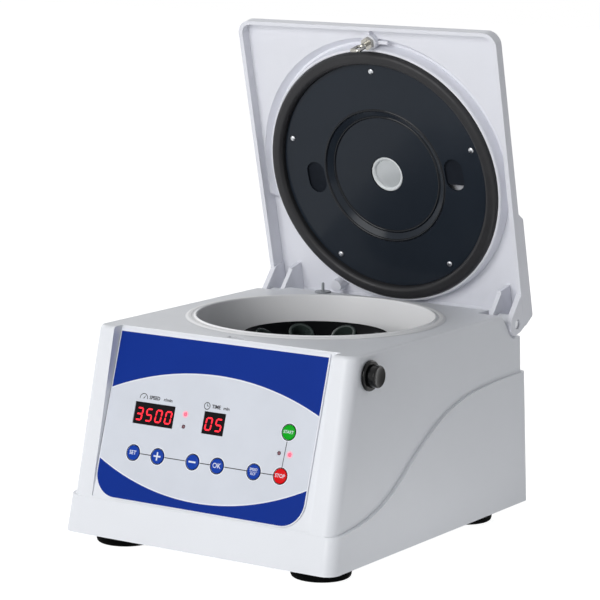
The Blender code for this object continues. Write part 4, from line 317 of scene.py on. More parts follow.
def dressed(name, node, finish, body, width=0.0004, angle=34.0, segments=2, smooth=32.0):
    """The node's own shape with softened edges, in place of the plain node."""
    mesh = softened(merged_copy(node), width, angle, segments, smooth)
    return piece_from(name, mesh, finish, body, (node,))


def turned_mesh(name, profile, steps, place, closed_ring=False):
    """A profile of (radius, height) points spun round Z, then put in its place."""
    bm = bmesh.new()
    rings = []
    for radius, height in profile:
        if radius < 1e-7:
            rings.append([bm.verts.new((0.0, 0.0, height))])
            continue
        ring = []
        for i in range(steps):
            a = math.tau * i / steps
            ring.append(bm.verts.new((radius * math.cos(a), radius * math.sin(a), height)))
        rings.append(ring)
    pairs = list(zip(rings, rings[1:]))
    if closed_ring:
        pairs.append((rings[-1], rings[0]))
    for low, high in pairs:
        for i in range(steps):
            j = (i + 1) % steps
            quad = [low[i % len(low)], low[j % len(low)], high[j % len(high)], high[i % len(high)]]
            corners = list(dict.fromkeys(quad))
            if len(corners) > 2:
                bm.faces.new(corners)
    bmesh.ops.recalc_face_normals(bm, faces=bm.faces)
    mesh = bpy.data.meshes.new(name)
    bm.to_mesh(mesh)
    bm.free()
    mesh.transform(place)
    mesh.shade_smooth()
    mesh.set_sharp_from_angle(angle=SHARP_TURN)
    return mesh


def rounded(points, radius, steps=4, closed=False):
    """A profile whose corners are turned with small arcs."""
    out = []
    count = len(points)
    for i, point in enumerate(points):
        if not closed and i in (0, count - 1):
            out.append(point)
            continue
        here = Vector(point)
        before = Vector(points[i - 1]) - here
        after = Vector(points[(i + 1) % count]) - here
        reach = min(radius, before.length * 0.45, after.length * 0.45)
        start = here + before.normalized() * reach
        end = here + after.normalized() * reach
        for k in range(steps + 1):
            t = k / steps
            spot = start * (1 - t) ** 2 + here * 2 * t * (1 - t) + end * t ** 2
            out.append((spot.x, spot.y))
    return out


def arc_points(radius, start, end, steps, x=0.0, y=0.0):
    out = []
    for i in range(steps + 1):
        a = math.radians(start + (end - start) * i / steps)
        out.append((x + radius * math.cos(a), y + radius * math.sin(a)))
    return out


def circle_points(radius, x, y, steps=48):
    return arc_points(radius, 0.0, 360.0 - 360.0 / steps, steps - 1, x, y)


def box_points(x, y, wide, tall):
    return [(x - wide / 2, y - tall / 2), (x + wide / 2, y - tall / 2), (x + wide / 2, y + tall / 2),
            (x - wide / 2, y + tall / 2)]


def rounded_box(x, y, wide, tall, radius):
    across = wide / 2 - radius
    high = tall / 2 - radius
    loop = []
    for i, (side, level) in enumerate(((1, 1), (-1, 1), (-1, -1), (1, -1))):
        loop += arc_points(radius, 90.0 * i, 90.0 * (i + 1), 6, x + side * across, y + level * high)
    return loop


def on_panel(x, climb, out=0.0):
    return PANEL @ FACING @ Matrix.Translation((x, climb, out))


def on_lid(x, up, out=0.0):
    return LID @ FACING @ Matrix.Translation((x, up, out))


def flat_mesh(name, loops, place, thick=PRINT_THICK):
    """Filled outlines with a little thickness, standing on a surface."""
    curve = bpy.data.curves.new(name, "CURVE")
    curve.dimensions = "2D"
    curve.fill_mode = "BOTH"
    curve.extrude = thick / 2
    for loop in loops:
        spline = curve.splines.new("POLY")
        spline.points.add(len(loop) - 1)
        for point, (x, y) in zip(spline.points, loop):
            point.co = (x, y, 0.0, 1.0)
        spline.use_cyclic_u = True
    mesh = applied(loose(name, curve))
    mesh.transform(place @ Matrix.Translation((0.0, 0.0, thick / 2)))
    return mesh


def printed_mesh(name, loops, rise):
    """Filled outlines printed on the panel, at a small rise over it."""
    return flat_mesh(name, loops, on_panel(0.0, 0.0, rise))


def words_mesh(text, size, place, squeeze, weight):
    """Printed words, centred on their place."""
    curve = bpy.data.curves.new("word", "FONT")
    curve.body = text
    curve.size = size
    curve.align_x = "CENTER"
    curve.align_y = "CENTER"
    curve.extrude = PRINT_THICK / 2
    curve.offset = weight
    curve.resolution_u = 3
    mesh = applied(loose("word", curve))
    lift = Matrix.Translation((0.0, 0.0, PRINT_THICK / 2))
    mesh.transform(place @ lift @ Matrix.Diagonal((squeeze, 1.0, 1.0, 1.0)))
    return mesh


def joined(name, meshes):
    bm = bmesh.new()
    for mesh in meshes:
        bm.from_mesh(mesh)
        bpy.data.meshes.remove(mesh)
    out = bpy.data.meshes.new(name)
    bm.to_mesh(out)
    bm.free()
    return out


# Repeats made by geometry nodes

def placed_pieces_tree():
    """Puts one piece on each given point, turned step by step and leaned."""
    tree = bpy.data.node_groups.new("placed_pieces", "GeometryNodeTree")
    face = tree.interface
    face.new_socket("Points", in_out="INPUT", socket_type="NodeSocketGeometry")
    face.new_socket("Piece", in_out="INPUT", socket_type="NodeSocketObject")
    face.new_socket("First Turn", in_out="INPUT", socket_type="NodeSocketFloat")
    face.new_socket("Turn Step", in_out="INPUT", socket_type="NodeSocketFloat")
    face.new_socket("Lean", in_out="INPUT", socket_type="NodeSocketFloat")
    face.new_socket("Finish", in_out="INPUT", socket_type="NodeSocketMaterial")
    face.new_socket("Pieces", in_out="OUTPUT", socket_type="NodeSocketGeometry")
    nodes = tree.nodes
    link = tree.links.new
    given = nodes.new("NodeGroupInput")
    result = nodes.new("NodeGroupOutput")
    piece = nodes.new("GeometryNodeObjectInfo")
    index = nodes.new("GeometryNodeInputIndex")
    turn = nodes.new("ShaderNodeMath")
    turn.operation = "MULTIPLY_ADD"
    lean = nodes.new("ShaderNodeMath")
    lean.operation = "MULTIPLY"
    lean.inputs[1].default_value = -1.0
    angles = nodes.new("ShaderNodeCombineXYZ")
    rotation = nodes.new("FunctionNodeEulerToRotation")
    instance = nodes.new("GeometryNodeInstanceOnPoints")
    real = nodes.new("GeometryNodeRealizeInstances")
    finish = nodes.new("GeometryNodeSetMaterial")
    link(given.outputs["Piece"], piece.inputs["Object"])
    link(index.outputs["Index"], turn.inputs[0])
    link(given.outputs["Turn Step"], turn.inputs[1])
    link(given.outputs["First Turn"], turn.inputs[2])
    link(given.outputs["Lean"], lean.inputs[0])
    link(turn.outputs[0], angles.inputs["Z"])
    link(lean.outputs[0], angles.inputs["Y"])
    link(angles.outputs[0], rotation.inputs[0])
    link(given.outputs["Points"], instance.inputs["Points"])
    link(piece.outputs["Geometry"], instance.inputs["Instance"])
    link(rotation.outputs[0], instance.inputs["Rotation"])
    link(instance.outputs[0], real.inputs[0])
    link(real.outputs[0], finish.inputs["Geometry"])
    link(given.outputs["Finish"], finish.inputs["Material"])
    link(finish.outputs[0], result.inputs["Pieces"])
    return tree


PLACED_PIECES = placed_pieces_tree()


def repeated(name, pattern, points, place, finish, first=0.0, step=0.0, lean=0.0):
    """A mesh of one pattern repeated at the given points, then put in its place."""
    guide = bpy.data.meshes.new(name + "_points")
    guide.from_pydata(points, [], [])
    holder = loose(name + "_points", guide)
    sample = loose(name + "_pattern", pattern)
    modifier = holder.modifiers.new("placed", "NODES")
    modifier.node_group = PLACED_PIECES
    values = {"Piece": sample, "First Turn": first, "Turn Step": step, "Lean": lean, "Finish": finish.mat}
    for item in PLACED_PIECES.interface.items_tree:
        if item.in_out == "INPUT" and item.name in values:
            modifier[item.identifier] = values[item.name]
    mesh = applied(holder)
    bpy.data.objects.remove(sample)
    bpy.data.meshes.remove(pattern)
    mesh.transform(place)
    mesh.set_sharp_from_angle(angle=SHARP_TURN)
    return mesh


# The body and its panel

def make_housing():
    dressed("housing_skin", "housing", SHELL, "body", 0.0008, 30.0, 3, 30.0)


def make_bowl():
    """The chamber: a rolled edge, a seat for the gasket, then walls of even thickness."""
    profile = [(0.1027, 0.1849), (0.1034, 0.1853), (0.1042, 0.1850), (0.1047, 0.1843), (0.1052, 0.1840),
               (0.1068, 0.1840), (0.1074, 0.1845), (0.1100, 0.1845), (0.1112, 0.1839), (0.1124, 0.1834),
               (0.1043, 0.1833)]
    profile += arc_points(0.0140, 0.0, -90.0, 8, 0.0888, 0.0872)
    profile += [(0.0125, 0.0732), (0.0125, 0.0812), (0.0145, 0.0812), (0.0145, 0.0752)]
    profile += arc_points(0.0120, -90.0, 0.0, 8, 0.0888, 0.0872)
    profile += [(0.1023, 0.1843)]
    bowl = turned_mesh("bowl", rounded(profile, 0.0004, 3, True), 128, ROTOR, True)
    piece_from("bowl_moulding", bowl, BOWL_WHITE, "body", ("chamber_bowl",))


FEET = ("foot_front_left", "foot_front_right", "foot_rear_left", "foot_rear_right")


def make_feet():
    profile = [(0.0, 0.0117), (0.0244, 0.0117), (0.0250, 0.0108), (0.0252, 0.0050), (0.0250, 0.0026),
               (0.0244, 0.0010), (0.0234, 0.0002), (0.0222, 0.0), (0.0150, 0.0), (0.0140, 0.0008),
               (0.0, 0.0008)]
    foot = turned_mesh("foot", rounded(profile, 0.0006, 3), 56, Matrix.Identity(4))
    points = []
    for node in FEET:
        low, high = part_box(node)
        points.append(((low.x + high.x) / 2, (low.y + high.y) / 2, 0.0))
    mesh = repeated("feet", foot, points, Matrix.Identity(4), FOOT_RUBBER, step=0.7)
    piece_from("rubber_feet", mesh, FOOT_RUBBER, "body", FEET)


# Layout of the label, in metres: x from the machine's middle, climb from the foot of the panel.
FIELD_MIDDLE = -0.0040
BLUE_HALF = 0.1036
UPPER_ARC = (0.2626, -0.1150)
LOWER_ARC = (0.2313, 0.2727)
LABEL_TOP = 0.1742
LABEL_BOTTOM = 0.0349
LABEL_CORNER = 0.0205
BAND_GAP = 0.0012
INK_RISE = 0.00003
OVERPRINT_RISE = 0.00008
KEY_ROW = 0.0743
KEY_SPACE = 0.0064
KEY_RING = 0.0070
KEY_HALO = 0.0077
KEY_TOP = 0.00070
GUIDE_REACH = 0.0070
STOP_X = 0.0726
START_X = 0.0738
START_CLIMB = 0.1102
LAMP_HOLE = 0.0018
LAMP_GLOW = 0.0030
WINDOW_CLIMB = 0.1080
WINDOW_TALL = 0.0186
WINDOW_GAP = 0.0006
WORDS_CLIMB = 0.1217
UNITS_CLIMB = 0.1215
KEYS = (
    ("set", -0.0746, KEY_ROW, KEY_BLUE, ("SET",)),
    ("plus", -0.0496, KEY_ROW, KEY_BLUE, ("+",)),
    ("minus", -0.0140, KEY_ROW, KEY_BLUE, ("-",)),
    ("ok", 0.0105, KEY_ROW, KEY_BLUE, ("OK",)),
    ("mode", 0.0467, KEY_ROW, KEY_BLUE, ("SPEED", "RCF")),
    ("stop", STOP_X, KEY_ROW, KEY_RED, ("STOP",)),
    ("start", START_X, START_CLIMB, KEY_GREEN, ("START",)),
)
LAMPS = (
    ("speed", -0.0290, 0.1123, True),
    ("force", -0.0290, 0.1019, False),
    ("stop", 0.0678, 0.0924, False),
    ("run", 0.0781, 0.0924, True),
)
DISPLAYS = (
    ("speed", -0.0604, 0.0402, "3500"),
    ("time", 0.0002, 0.0208, "05"),
)


def arc_height(x, radius, centre, side):
    return centre + side * math.sqrt(radius ** 2 - (x - FIELD_MIDDLE) ** 2)


def band_edge(arc, side, shift, reverse=False):
    """Points along the curved edge of a coloured band of the label."""
    steps = 48
    points = []
    for i in range(steps + 1):
        x = FIELD_MIDDLE - BLUE_HALF + 2 * BLUE_HALF * i / steps
        points.append((x, arc_height(x, arc[0], arc[1], side) + shift))
    return points[::-1] if reverse else points


def make_label():
    mesh = softened(merged_copy("control_panel"), 0.00012, 60.0, 2, 40.0)
    piece_from("label_film", mesh, FILM_WHITE, "body", ("control_panel",))
    left = FIELD_MIDDLE - BLUE_HALF
    right = FIELD_MIDDLE + BLUE_HALF
    low = LABEL_BOTTOM + LABEL_CORNER
    upper = band_edge(UPPER_ARC, 1, 0.0) + [(right, LABEL_TOP), (left, LABEL_TOP)]
    lower = band_edge(LOWER_ARC, -1, 0.0, True)
    lower += arc_points(LABEL_CORNER, 180.0, 270.0, 12, left + LABEL_CORNER, low)
    lower += arc_points(LABEL_CORNER, 270.0, 360.0, 12, right - LABEL_CORNER, low)
    bands = [printed_mesh("band", [loop], INK_RISE) for loop in (upper, lower)]
    piece_from("label_blue_bands", joined("blue_bands", bands), FILM_BLUE, "body")
    field = band_edge(LOWER_ARC, -1, BAND_GAP) + band_edge(UPPER_ARC, 1, -BAND_GAP, True)
    holes = [circle_points(KEY_SPACE, x, climb) for name, x, climb, finish, words in KEYS]
    holes += [circle_points(LAMP_HOLE, x, climb, 24) for name, x, climb, lit in LAMPS]
    holes += [box_points(x, WINDOW_CLIMB, wide + WINDOW_GAP, WINDOW_TALL) for name, x, wide, text in DISPLAYS]
    piece_from("label_pale_field", printed_mesh("field", [field] + holes, INK_RISE), FILM_PALE, "body")


def key_legend(x, climb, words):
    """The word, pair of words or sign on a key's dome."""
    top = on_panel(x, climb, KEY_TOP)
    if words == ("+",):
        upright = on_panel(x, climb, KEY_TOP + 0.00001)
        return [flat_mesh("plus", [box_points(0.0, 0.0, 0.0070, 0.0014)], top),
                flat_mesh("plus", [box_points(0.0, 0.0, 0.0014, 0.0070)], upright)]
    if words == ("-",):
        return [flat_mesh("minus", [box_points(0.0, 0.0, 0.0070, 0.0014)], top)]
    if len(words) == 2:
        legend = [flat_mesh("line", [box_points(0.0, 0.0, 0.0076, 0.0002)], top)]
        for word, shift in zip(words, (0.0018, -0.0018)):
            place = on_panel(x, climb + shift, KEY_TOP)
            legend.append(words_mesh(word, 0.0030, place, squeeze=0.95, weight=0.00004))
        return legend
    size = {2: 0.0060, 3: 0.0048, 4: 0.0043, 5: 0.0036}[len(words[0])]
    return [words_mesh(words[0], size, top, squeeze=0.92, weight=0.00006)]


def make_keys():
    """Domed keys with their legends, each in its dark and pale ring."""
    profile = [(0.0, 0.00072), (0.0030, 0.00070), (0.0048, 0.00062), (0.0057, 0.00040), (0.0061, 0.0001),
               (0.0061, -0.0015), (0.0025, -0.0015), (0.0025, -0.0107), (0.0, -0.0107)]
    rings = []
    halos = []
    for name, x, climb, finish, words in KEYS:
        dome = turned_mesh("key", rounded(profile, 0.0003, 3), 48, on_panel(x, climb))
        body = "key_" + name + "_cap"
        piece_from("key_" + name + "_dome", dome, finish, body, ("key_" + name,))
        piece_from("key_" + name + "_legend", joined("legend", key_legend(x, climb, words)), INK_WHITE, body)
        space, ring, halo = [circle_points(radius, x, climb) for radius in (KEY_SPACE, KEY_RING, KEY_HALO)]
        rings.append(printed_mesh("ring", [ring, space], OVERPRINT_RISE))
        halos.append(printed_mesh("halo", [halo, ring], OVERPRINT_RISE))
    piece_from("key_outlines", joined("rings", rings), FILM_DARK, "body")
    piece_from("key_halos", joined("halos", halos), FILM_HALO, "body")


def make_guide_lines():
    """Thin grey lines that join the keys in their order of use."""
    width = 0.0007
    half = 0.0003
    places = sorted(x for name, x, climb, finish, words in KEYS if climb == KEY_ROW)
    strips = []
    for left, right in zip(places, places[1:]):
        long = right - left - 2 * GUIDE_REACH
        loop = box_points((left + right) / 2, KEY_ROW, long, width)
        strips.append(printed_mesh("line", [loop], OVERPRINT_RISE))
    lean = (START_X - STOP_X) / (START_CLIMB - KEY_ROW)
    low = KEY_ROW + GUIDE_REACH
    high = START_CLIMB - GUIDE_REACH
    foot = STOP_X + lean * (low - KEY_ROW)
    head = STOP_X + lean * (high - KEY_ROW)
    edge = [(foot - half, low), (foot + half, low), (head + half, high), (head - half, high)]
    strips.append(printed_mesh("line", [edge], OVERPRINT_RISE))
    piece_from("key_guide_lines", joined("guide_lines", strips), FILM_GREY, "body")


def make_lamps():
    profile = [(0.0, 0.00055), (0.0006, 0.0005), (0.0011, 0.00032), (0.0014, 0.0), (0.0015, -0.0002),
               (0.0015, -0.0110), (0.0, -0.0110)]
    glow = []
    for name, x, climb, lit in LAMPS:
        lens = turned_mesh("lamp", rounded(profile, 0.0002, 2), 32, on_panel(x, climb))
        piece_from("lamp_" + name + "_lens", lens, LAMP_LIT if lit else LAMP_OFF, "body", ("lamp_" + name,))
        if lit:
            loops = [circle_points(LAMP_GLOW, x, climb), circle_points(LAMP_HOLE, x, climb, 24)]
            glow.append(printed_mesh("glow", loops, OVERPRINT_RISE))
    piece_from("lamp_glow_rings", joined("glow", glow), LAMP_HALO, "body")


SEGMENTS = {
    "0": "abcdef", "1": "bc", "2": "abged", "3": "abgcd", "4": "fgbc",
    "5": "afgcd", "6": "afgedc", "7": "abc", "8": "abcdefg", "9": "abcdfg",
}
DIGIT_PITCH = 0.0098
DIGIT_WIDE = 0.0067
DIGIT_TALL = 0.0112
DIGIT_BAR = 0.00130
DIGIT_CLIMB = 0.1072
DIGIT_SLANT = 0.10
DIGIT_RISE = 0.00002


def segment_loop(letter, wide, tall, bar):
    """One bar of a seven-bar digit, with pointed ends."""
    gap = bar * 0.16
    half = bar / 2
    right = wide / 2 - half
    top = tall / 2 - half
    ends = {
        "a": ((-right, top), (right, top)),
        "b": ((right, 0.0), (right, top)),
        "c": ((right, -top), (right, 0.0)),
        "d": ((-right, -top), (right, -top)),
        "e": ((-right, -top), (-right, 0.0)),
        "f": ((-right, 0.0), (-right, top)),
        "g": ((-right, 0.0), (right, 0.0)),
    }[letter]
    start, end = Vector(ends[0]), Vector(ends[1])
    along = (end - start).normalized()
    across = Vector((-along.y, along.x)) * half
    start += along * gap
    end -= along * gap
    near = start + along * half
    far = end - along * half
    return [start, near - across, far - across, end, far + across, near + across]


def make_displays():
    """Two dark windows whose lit digits show through."""
    lit = []
    unlit = []
    for name, x, wide, text in DISPLAYS:
        mesh = softened(merged_copy(name + "_display"), 0.0003, 40.0, 2, 40.0)
        piece_from(name + "_window", mesh, WINDOW_BLACK, "body", (name + "_display",))
        first = x - DIGIT_PITCH * (len(text) - 1) / 2
        for i, figure in enumerate(text):
            for letter in "abcdefg":
                loop = [(p.x + p.y * DIGIT_SLANT + first + i * DIGIT_PITCH, p.y + DIGIT_CLIMB)
                        for p in segment_loop(letter, DIGIT_WIDE, DIGIT_TALL, DIGIT_BAR)]
                target = lit if letter in SEGMENTS[figure] else unlit
                target.append(printed_mesh("bar", [loop], DIGIT_RISE))
    piece_from("digit_bars_lit", joined("lit", lit), DIGIT_LIT, "body")
    piece_from("digit_bars_unlit", joined("unlit", unlit), DIGIT_OFF, "body")


def make_icons():
    """Small dial and clock marks with the words beside them."""
    x, y = -0.0735, 0.1206
    dial = arc_points(0.0041, -8.0, 188.0, 20, x, y) + arc_points(0.0035, 188.0, -8.0, 20, x, y)
    needle = [(x - 0.0005, y - 0.0002), (x + 0.0004, y - 0.0004), (x + 0.0019, y + 0.0024),
              (x + 0.0017, y + 0.0025)]
    x, y = -0.0090, WORDS_CLIMB
    clock = [circle_points(0.0031, x, y), circle_points(0.0025, x, y)]
    hands = [(x - 0.00025, y + 0.0020), (x - 0.00025, y - 0.00025), (x + 0.0017, y - 0.00025),
             (x + 0.0017, y + 0.00025), (x + 0.00025, y + 0.00025), (x + 0.00025, y + 0.0020)]
    marks = [printed_mesh("mark", loops, OVERPRINT_RISE) for loops in ([dial], [needle], clock, [hands])]
    for word, x in (("SPEED", -0.0622), ("TIME", 0.0002)):
        place = on_panel(x, WORDS_CLIMB, OVERPRINT_RISE)
        marks.append(words_mesh(word, 0.0042, place, squeeze=0.95, weight=0.00012))
    for word, x in (("r/min", -0.0485), ("min", 0.0104)):
        place = on_panel(x, UNITS_CLIMB, OVERPRINT_RISE)
        marks.append(words_mesh(word, 0.0036, place, squeeze=1.15, weight=0.00009))
    piece_from("label_small_marks", joined("marks", marks), FILM_DARK, "body")


# The lid

SLOT_CIRCLE = 0.0726
SLOT_TURN = math.radians(5.2)
SCREW_CIRCLE = 0.0974
SCREW_TURN = math.radians(18.6)


def lid_ring(name, profile, steps, closed=True):
    """A profile turned round the middle of the lid."""
    return turned_mesh(name, profile, steps, on_lid(0.0, LID_MIDDLE), closed)


def make_lid():
    dressed("lid_moulding", "lid_shell", LID_SKIN, "lid", 0.0007, 30.0, 3, 30.0)
    dressed("liner_moulding", "lid_liner", LINER, "lid", 0.0004, 30.0, 2, 30.0)
    make_gasket()
    make_sight_window()
    make_dish_beads()
    make_liner_screws()
    make_lid_details()
    dressed("striker_loop", "lid_striker", STEEL, "lid", 0.0002, 40.0, 2, 40.0)
    dressed("hinge_pin_left_turned", "hinge_pin_left", STEEL_TURNED, "lid", 0.0003, 40.0, 2, 40.0)
    dressed("hinge_pin_right_turned", "hinge_pin_right", STEEL_TURNED, "lid", 0.0003, 40.0, 2, 40.0)


def make_gasket():
    """The round gasket and the wall of the groove that holds it."""
    crown = -0.0162
    foot = -0.0270
    profile = arc_points(0.0042, 180.0, 90.0, 8, 0.1087, crown)
    profile += arc_points(0.0042, 90.0, 0.0, 8, 0.1117, crown)
    profile += [(0.1159, foot), (0.1045, foot)]
    piece_from("gasket_ring", lid_ring("gasket", profile, 160), GASKET, "lid", ("lid_gasket",))
    profile = [(0.1161, foot), (0.1161, -0.0164), (0.1166, -0.0160), (0.1175, -0.0160), (0.1186, -0.0170),
               (0.1204, foot)]
    wall = lid_ring("groove", rounded(profile, 0.0006, 3), 160)
    piece_from("gasket_groove_wall", wall, LID_SKIN, "lid")


def make_sight_window():
    """A clear pane with a milky rim round it."""
    profile = [(0.0, -0.0276), (0.0172, -0.0276), (0.0180, -0.0270), (0.0180, -0.0262), (0.0172, -0.0256),
               (0.0, -0.0256)]
    pane = lid_ring("window", profile, 64, False)
    piece_from("window_pane", pane, CLEAR, "lid", ("sight_window",))
    profile = [(0.0126, -0.0255), (0.0134, -0.0242), (0.0142, -0.0236), (0.0156, -0.0236), (0.0160, -0.0242),
               (0.0160, -0.0255)]
    rim = lid_ring("window_rim", rounded(profile, 0.0004, 3, True), 64)
    piece_from("window_rim", rim, WINDOW_RIM, "lid")


def make_dish_beads():
    """The rolled edges of the round dish in the liner."""
    beads = []
    for radius, out in ((0.0614, -0.0193), (0.0541, -0.0229)):
        beads.append(lid_ring("bead", arc_points(0.0014, 0.0, 345.0, 15, radius, out), 128))
    piece_from("liner_dish_beads", joined("beads", beads), LINER_GLOSS, "lid")


def make_lid_details():
    """Dark pads behind the liner's two slots, which paint the shade seen through them, and the small tab by
    the striker.
    """
    pads = []
    for side, rise in ((0, 0.0070), (1, 0.0)):
        turn = SLOT_TURN + side * math.pi
        x = SLOT_CIRCLE * math.cos(turn)
        up = SLOT_CIRCLE * math.sin(turn) + rise
        loop = rounded_box(x, up, 0.0250, 0.0340, 0.004)
        pads.append(flat_mesh("pad", [loop], on_lid(0.0, LID_MIDDLE, -0.0237), 0.0030))
    # Painted shade: the pads sit just behind the slots and darken them as shade would.
    pad = softened(joined("slot_pads", pads), 0.0006, 40.0, 2, 40.0)
    piece_from("slot_pads", pad, SLOT_PAINTED_SHADE, "lid")
    loop = rounded_box(0.0145, 0.2447, 0.0100, 0.0030, 0.0012)
    tab = flat_mesh("tab", [loop], on_lid(0.0, 0.0, -0.0207), 0.0022)
    piece_from("lid_tab", softened(tab, 0.0006, 40.0, 3, 40.0), LID_SKIN, "lid")


def make_liner_screws():
    """Five domed screws round the edge of the liner."""
    profile = [(0.0, 0.0013), (0.0009, 0.00128), (0.0018, 0.0011), (0.0024, 0.0007), (0.0027, 0.0002),
               (0.0027, 0.0), (0.0013, 0.0), (0.0013, -0.0058), (0.0, -0.0058)]
    screw = turned_mesh("screw", profile, 32, Matrix.Identity(4))
    points = []
    for i in range(5):
        turn = SCREW_TURN + math.tau * i / 5
        points.append((SCREW_CIRCLE * math.cos(turn), SCREW_CIRCLE * math.sin(turn), 0.0))
    place = on_lid(0.0, LID_MIDDLE, -0.0182)
    mesh = repeated("screws", screw, points, place, STEEL_TURNED, first=0.3, step=1.1)
    names = ["liner_screw_" + str(i + 1) for i in range(5)]
    piece_from("liner_screws", mesh, STEEL_TURNED, "lid", names)


# The rotor, the release and what shows at the rear

SLEEVE_CIRCLE = 0.050
SLEEVE_HEIGHT = 0.158755
SLEEVE_TURN = math.radians(2.6)
SLEEVE_LEAN = math.radians(36.0)


def make_rotor():
    dressed("rotor_dish", "rotor_head", ROTOR_BLACK, "rotor", 0.0004, 32.0, 2, 32.0)
    bore = 0.0085
    outer = 0.0097
    lip = 0.0113
    end = -0.0620
    inside = arc_points(bore, -90.0, 0.0, 8, 0.0, end + outer)
    outside = arc_points(outer, 0.0, -90.0, 8, 0.0, end + outer)
    flange = [(bore, 0.0020), (0.0088, 0.0025), (0.0092, 0.0026), (0.0107, 0.0026), (0.0111, 0.0024),
              (lip, 0.0019), (lip, 0.0003), (outer, 0.0003)]
    profile = inside + flange + outside
    profile[0] = (0.0, profile[0][1])
    profile[-1] = (0.0, profile[-1][1])
    sleeve = turned_mesh("sleeve", profile, 48, Matrix.Identity(4))
    points = []
    for i in range(8):
        turn = SLEEVE_TURN + math.tau * i / 8
        points.append((SLEEVE_CIRCLE * math.cos(turn), SLEEVE_CIRCLE * math.sin(turn), SLEEVE_HEIGHT))
    mesh = repeated("sleeves", sleeve, points, ROTOR, SLEEVE, SLEEVE_TURN, math.tau / 8, SLEEVE_LEAN)
    piece_from("tube_sleeve_ring", mesh, SLEEVE, "rotor", ["tube_sleeve_" + str(i + 1) for i in range(8)])
    dressed("rotor_nut_hex", "rotor_nut", STEEL, "rotor", 0.0006, 40.0, 3, 40.0)


def make_release():
    dressed("release_flange", "release_collar", KNOB_GLOSS, "body", 0.0003, 40.0, 2, 36.0)
    dressed("release_push_button", "release_button", KNOB_GLOSS, "release", 0.0004, 40.0, 3, 36.0)
    dressed("latch_tongue", "latch_bolt", STEEL, "latch", 0.0003, 40.0, 2, 40.0)
    dressed("switch_plunger", "lid_switch_pin", SWITCH_GREY, "switch_pin", 0.0003, 40.0, 2, 40.0)
    dressed("switch_bush_grey", "lid_switch_bush", SWITCH_GREY, "body", 0.0002, 40.0, 2, 36.0)


def make_rear():
    dressed("inlet_moulding", "power_inlet", BLACK_PLASTIC, "body", 0.0004, 40.0, 2, 36.0)
    dressed("rocker_bezel", "rocker_frame", BLACK_PLASTIC, "body", 0.0004, 40.0, 2, 36.0)
    dressed("rocker_cap", "power_rocker", ROCKER, "rocker", 0.0004, 40.0, 2, 36.0)


def finish_nodes():
    """Better materials in the slots of the nodes that stay as they are."""
    kept = {
        "base_plate": ZINC,
        "control_board": BOARD,
        "motor_body": MOTOR,
        "motor_plate": ZINC,
        "motor_shaft": STEEL,
        "motor_damper_1": FOOT_RUBBER,
        "motor_damper_2": FOOT_RUBBER,
        "motor_damper_3": FOOT_RUBBER,
        "latch_bracket": ZINC,
        "lid_switch_body": BLACK_PLASTIC,
    }
    for node, finish in kept.items():
        mesh = NODES[node].data
        if not mesh.materials:
            mesh.materials.append(finish.mat)
        for i in range(len(mesh.materials)):
            mesh.materials[i] = finish.mat


# Floor, light and camera

FLOOR_REACH = 6.0
FLOOR_GLOW = 0.93
SKY_LIGHT = 0.26
SENSOR_WIDTH = 36.0
PHOTO_PIXELS = 600.0
FOCAL_PIXELS = 2716.583
CAMERA_PLACE = (1.250745, -1.922766, 0.584146)


def background_seen(tree):
    """1 where a ray shows the background: straight, in metal or through a window."""
    path = tree.nodes.new("ShaderNodeLightPath")
    level = path.outputs["Is Camera Ray"]
    for kind in ("Is Glossy Ray", "Is Transmission Ray"):
        greater = tree.nodes.new("ShaderNodeMath")
        greater.operation = "MAXIMUM"
        tree.links.new(level, greater.inputs[0])
        tree.links.new(path.outputs[kind], greater.inputs[1])
        level = greater.outputs[0]
    return level


def make_floor():
    mesh = bpy.data.meshes.new("studio_floor")
    corners = [(x * FLOOR_REACH, y * FLOOR_REACH, 0.0) for x, y in ((-1, -1), (1, -1), (1, 1), (-1, 1))]
    mesh.from_pydata(corners, [], [(0, 1, 2, 3)])
    floor = loose("studio_floor", mesh)
    mat = bpy.data.materials.new("studio_floor_white")
    mat.use_nodes = True
    tree = mat.node_tree
    tree.nodes.clear()
    out = tree.nodes.new("ShaderNodeOutputMaterial")
    add = tree.nodes.new("ShaderNodeAddShader")
    matt = tree.nodes.new("ShaderNodeBsdfDiffuse")
    tone = tree.nodes.new("ShaderNodeMix")
    tone.data_type = "RGBA"
    tone.inputs["A"].default_value = (0.93, 0.93, 0.94, 1.0)
    tone.inputs["B"].default_value = (0.42, 0.42, 0.42, 1.0)
    tree.links.new(tone.outputs["Result"], matt.inputs["Color"])
    glow = tree.nodes.new("ShaderNodeEmission")
    glow.inputs["Color"].default_value = (1.0, 1.0, 1.0, 1.0)
    seen = background_seen(tree)
    level = tree.nodes.new("ShaderNodeMath")
    level.operation = "MULTIPLY"
    level.inputs[1].default_value = FLOOR_GLOW
    tree.links.new(seen, level.inputs[0])
    tree.links.new(seen, tone.inputs["Factor"])
    tree.links.new(level.outputs[0], glow.inputs["Strength"])
    tree.links.new(matt.outputs[0], add.inputs[0])
    tree.links.new(glow.outputs[0], add.inputs[1])
    tree.links.new(add.outputs[0], out.inputs["Surface"])
    mesh.materials.append(mat)


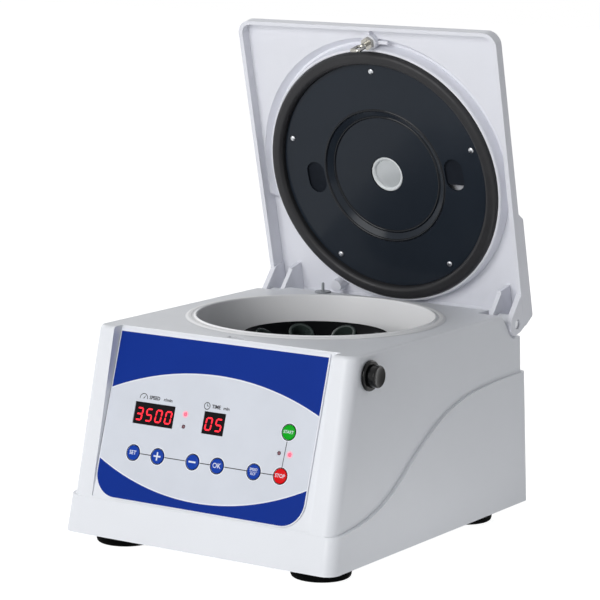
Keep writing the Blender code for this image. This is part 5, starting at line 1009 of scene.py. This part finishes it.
def make_world():
    world = bpy.data.worlds.new("studio")
    bpy.context.scene.world = world
    world.use_nodes = True
    tree = world.node_tree
    tree.nodes.clear()
    out = tree.nodes.new("ShaderNodeOutputWorld")
    mix = tree.nodes.new("ShaderNodeMixShader")
    plain = tree.nodes.new("ShaderNodeBackground")
    plain.inputs["Color"].default_value = (0.93, 0.96, 1.0, 1.0)
    plain.inputs["Strength"].default_value = SKY_LIGHT
    white = tree.nodes.new("ShaderNodeBackground")
    white.inputs["Color"].default_value = (1.0, 1.0, 1.0, 1.0)
    white.inputs["Strength"].default_value = 1.0
    tree.links.new(background_seen(tree), mix.inputs[0])
    tree.links.new(plain.outputs[0], mix.inputs[1])
    tree.links.new(white.outputs[0], mix.inputs[2])
    tree.links.new(mix.outputs[0], out.inputs["Surface"])


def soft_lamp(name, place, target, size, power):
    light = bpy.data.lights.new(name, "AREA")
    light.shape = "RECTANGLE"
    light.size, light.size_y = size
    light.energy = power
    lamp = bpy.data.objects.new(name, light)
    lamp.visible_camera = False
    bpy.context.scene.collection.objects.link(lamp)
    lamp.location = place
    aim = Vector(target) - Vector(place)
    lamp.rotation_euler = aim.to_track_quat("-Z", "Y").to_euler()


def make_lights():
    middle = (0.0, 0.0, 0.15)
    soft_lamp("key_softbox", (-0.30, -2.35, 0.95), middle, (1.5, 1.5), 36.0)
    soft_lamp("left_softbox", (-1.8, 0.3, 1.1), middle, (1.0, 1.4), 11.0)
    soft_lamp("rear_fill", (0.5, 2.1, 1.2), middle, (1.4, 1.2), 7.0)
    soft_lamp("right_floor_glow", (0.27, -0.01, 0.006), (0.13, -0.01, 0.02), (0.36, 0.02), 0.055)


def make_camera():
    """The camera fitted to the photo."""
    azimuth = math.radians(33.171)
    rise = math.radians(9.516)
    roll = math.radians(0.551)
    back = Vector((math.sin(azimuth) * math.cos(rise), -math.cos(azimuth) * math.cos(rise), math.sin(rise)))
    right = Vector((math.cos(azimuth), math.sin(azimuth), 0.0))
    up = back.cross(right)
    turned_right = right * math.cos(roll) + up * math.sin(roll)
    turned_up = up * math.cos(roll) - right * math.sin(roll)
    data = bpy.data.cameras.new("bench_camera")
    data.sensor_width = SENSOR_WIDTH
    data.lens = FOCAL_PIXELS * SENSOR_WIDTH / PHOTO_PIXELS
    data.clip_end = 50.0
    camera = bpy.data.objects.new("bench_camera", data)
    bpy.context.scene.collection.objects.link(camera)
    columns = Matrix((turned_right, turned_up, back)).transposed().to_4x4()
    camera.matrix_world = Matrix.Translation(CAMERA_PLACE) @ columns
    bpy.context.scene.camera = camera


make_camera()
make_housing()
make_bowl()
make_feet()
make_label()
make_keys()
make_guide_lines()
make_lamps()
make_displays()
make_icons()
make_lid()
make_rotor()
make_release()
make_rear()
finish_nodes()
make_floor()
make_world()
make_lights()
bpy.context.scene.view_settings.view_transform = "Standard"
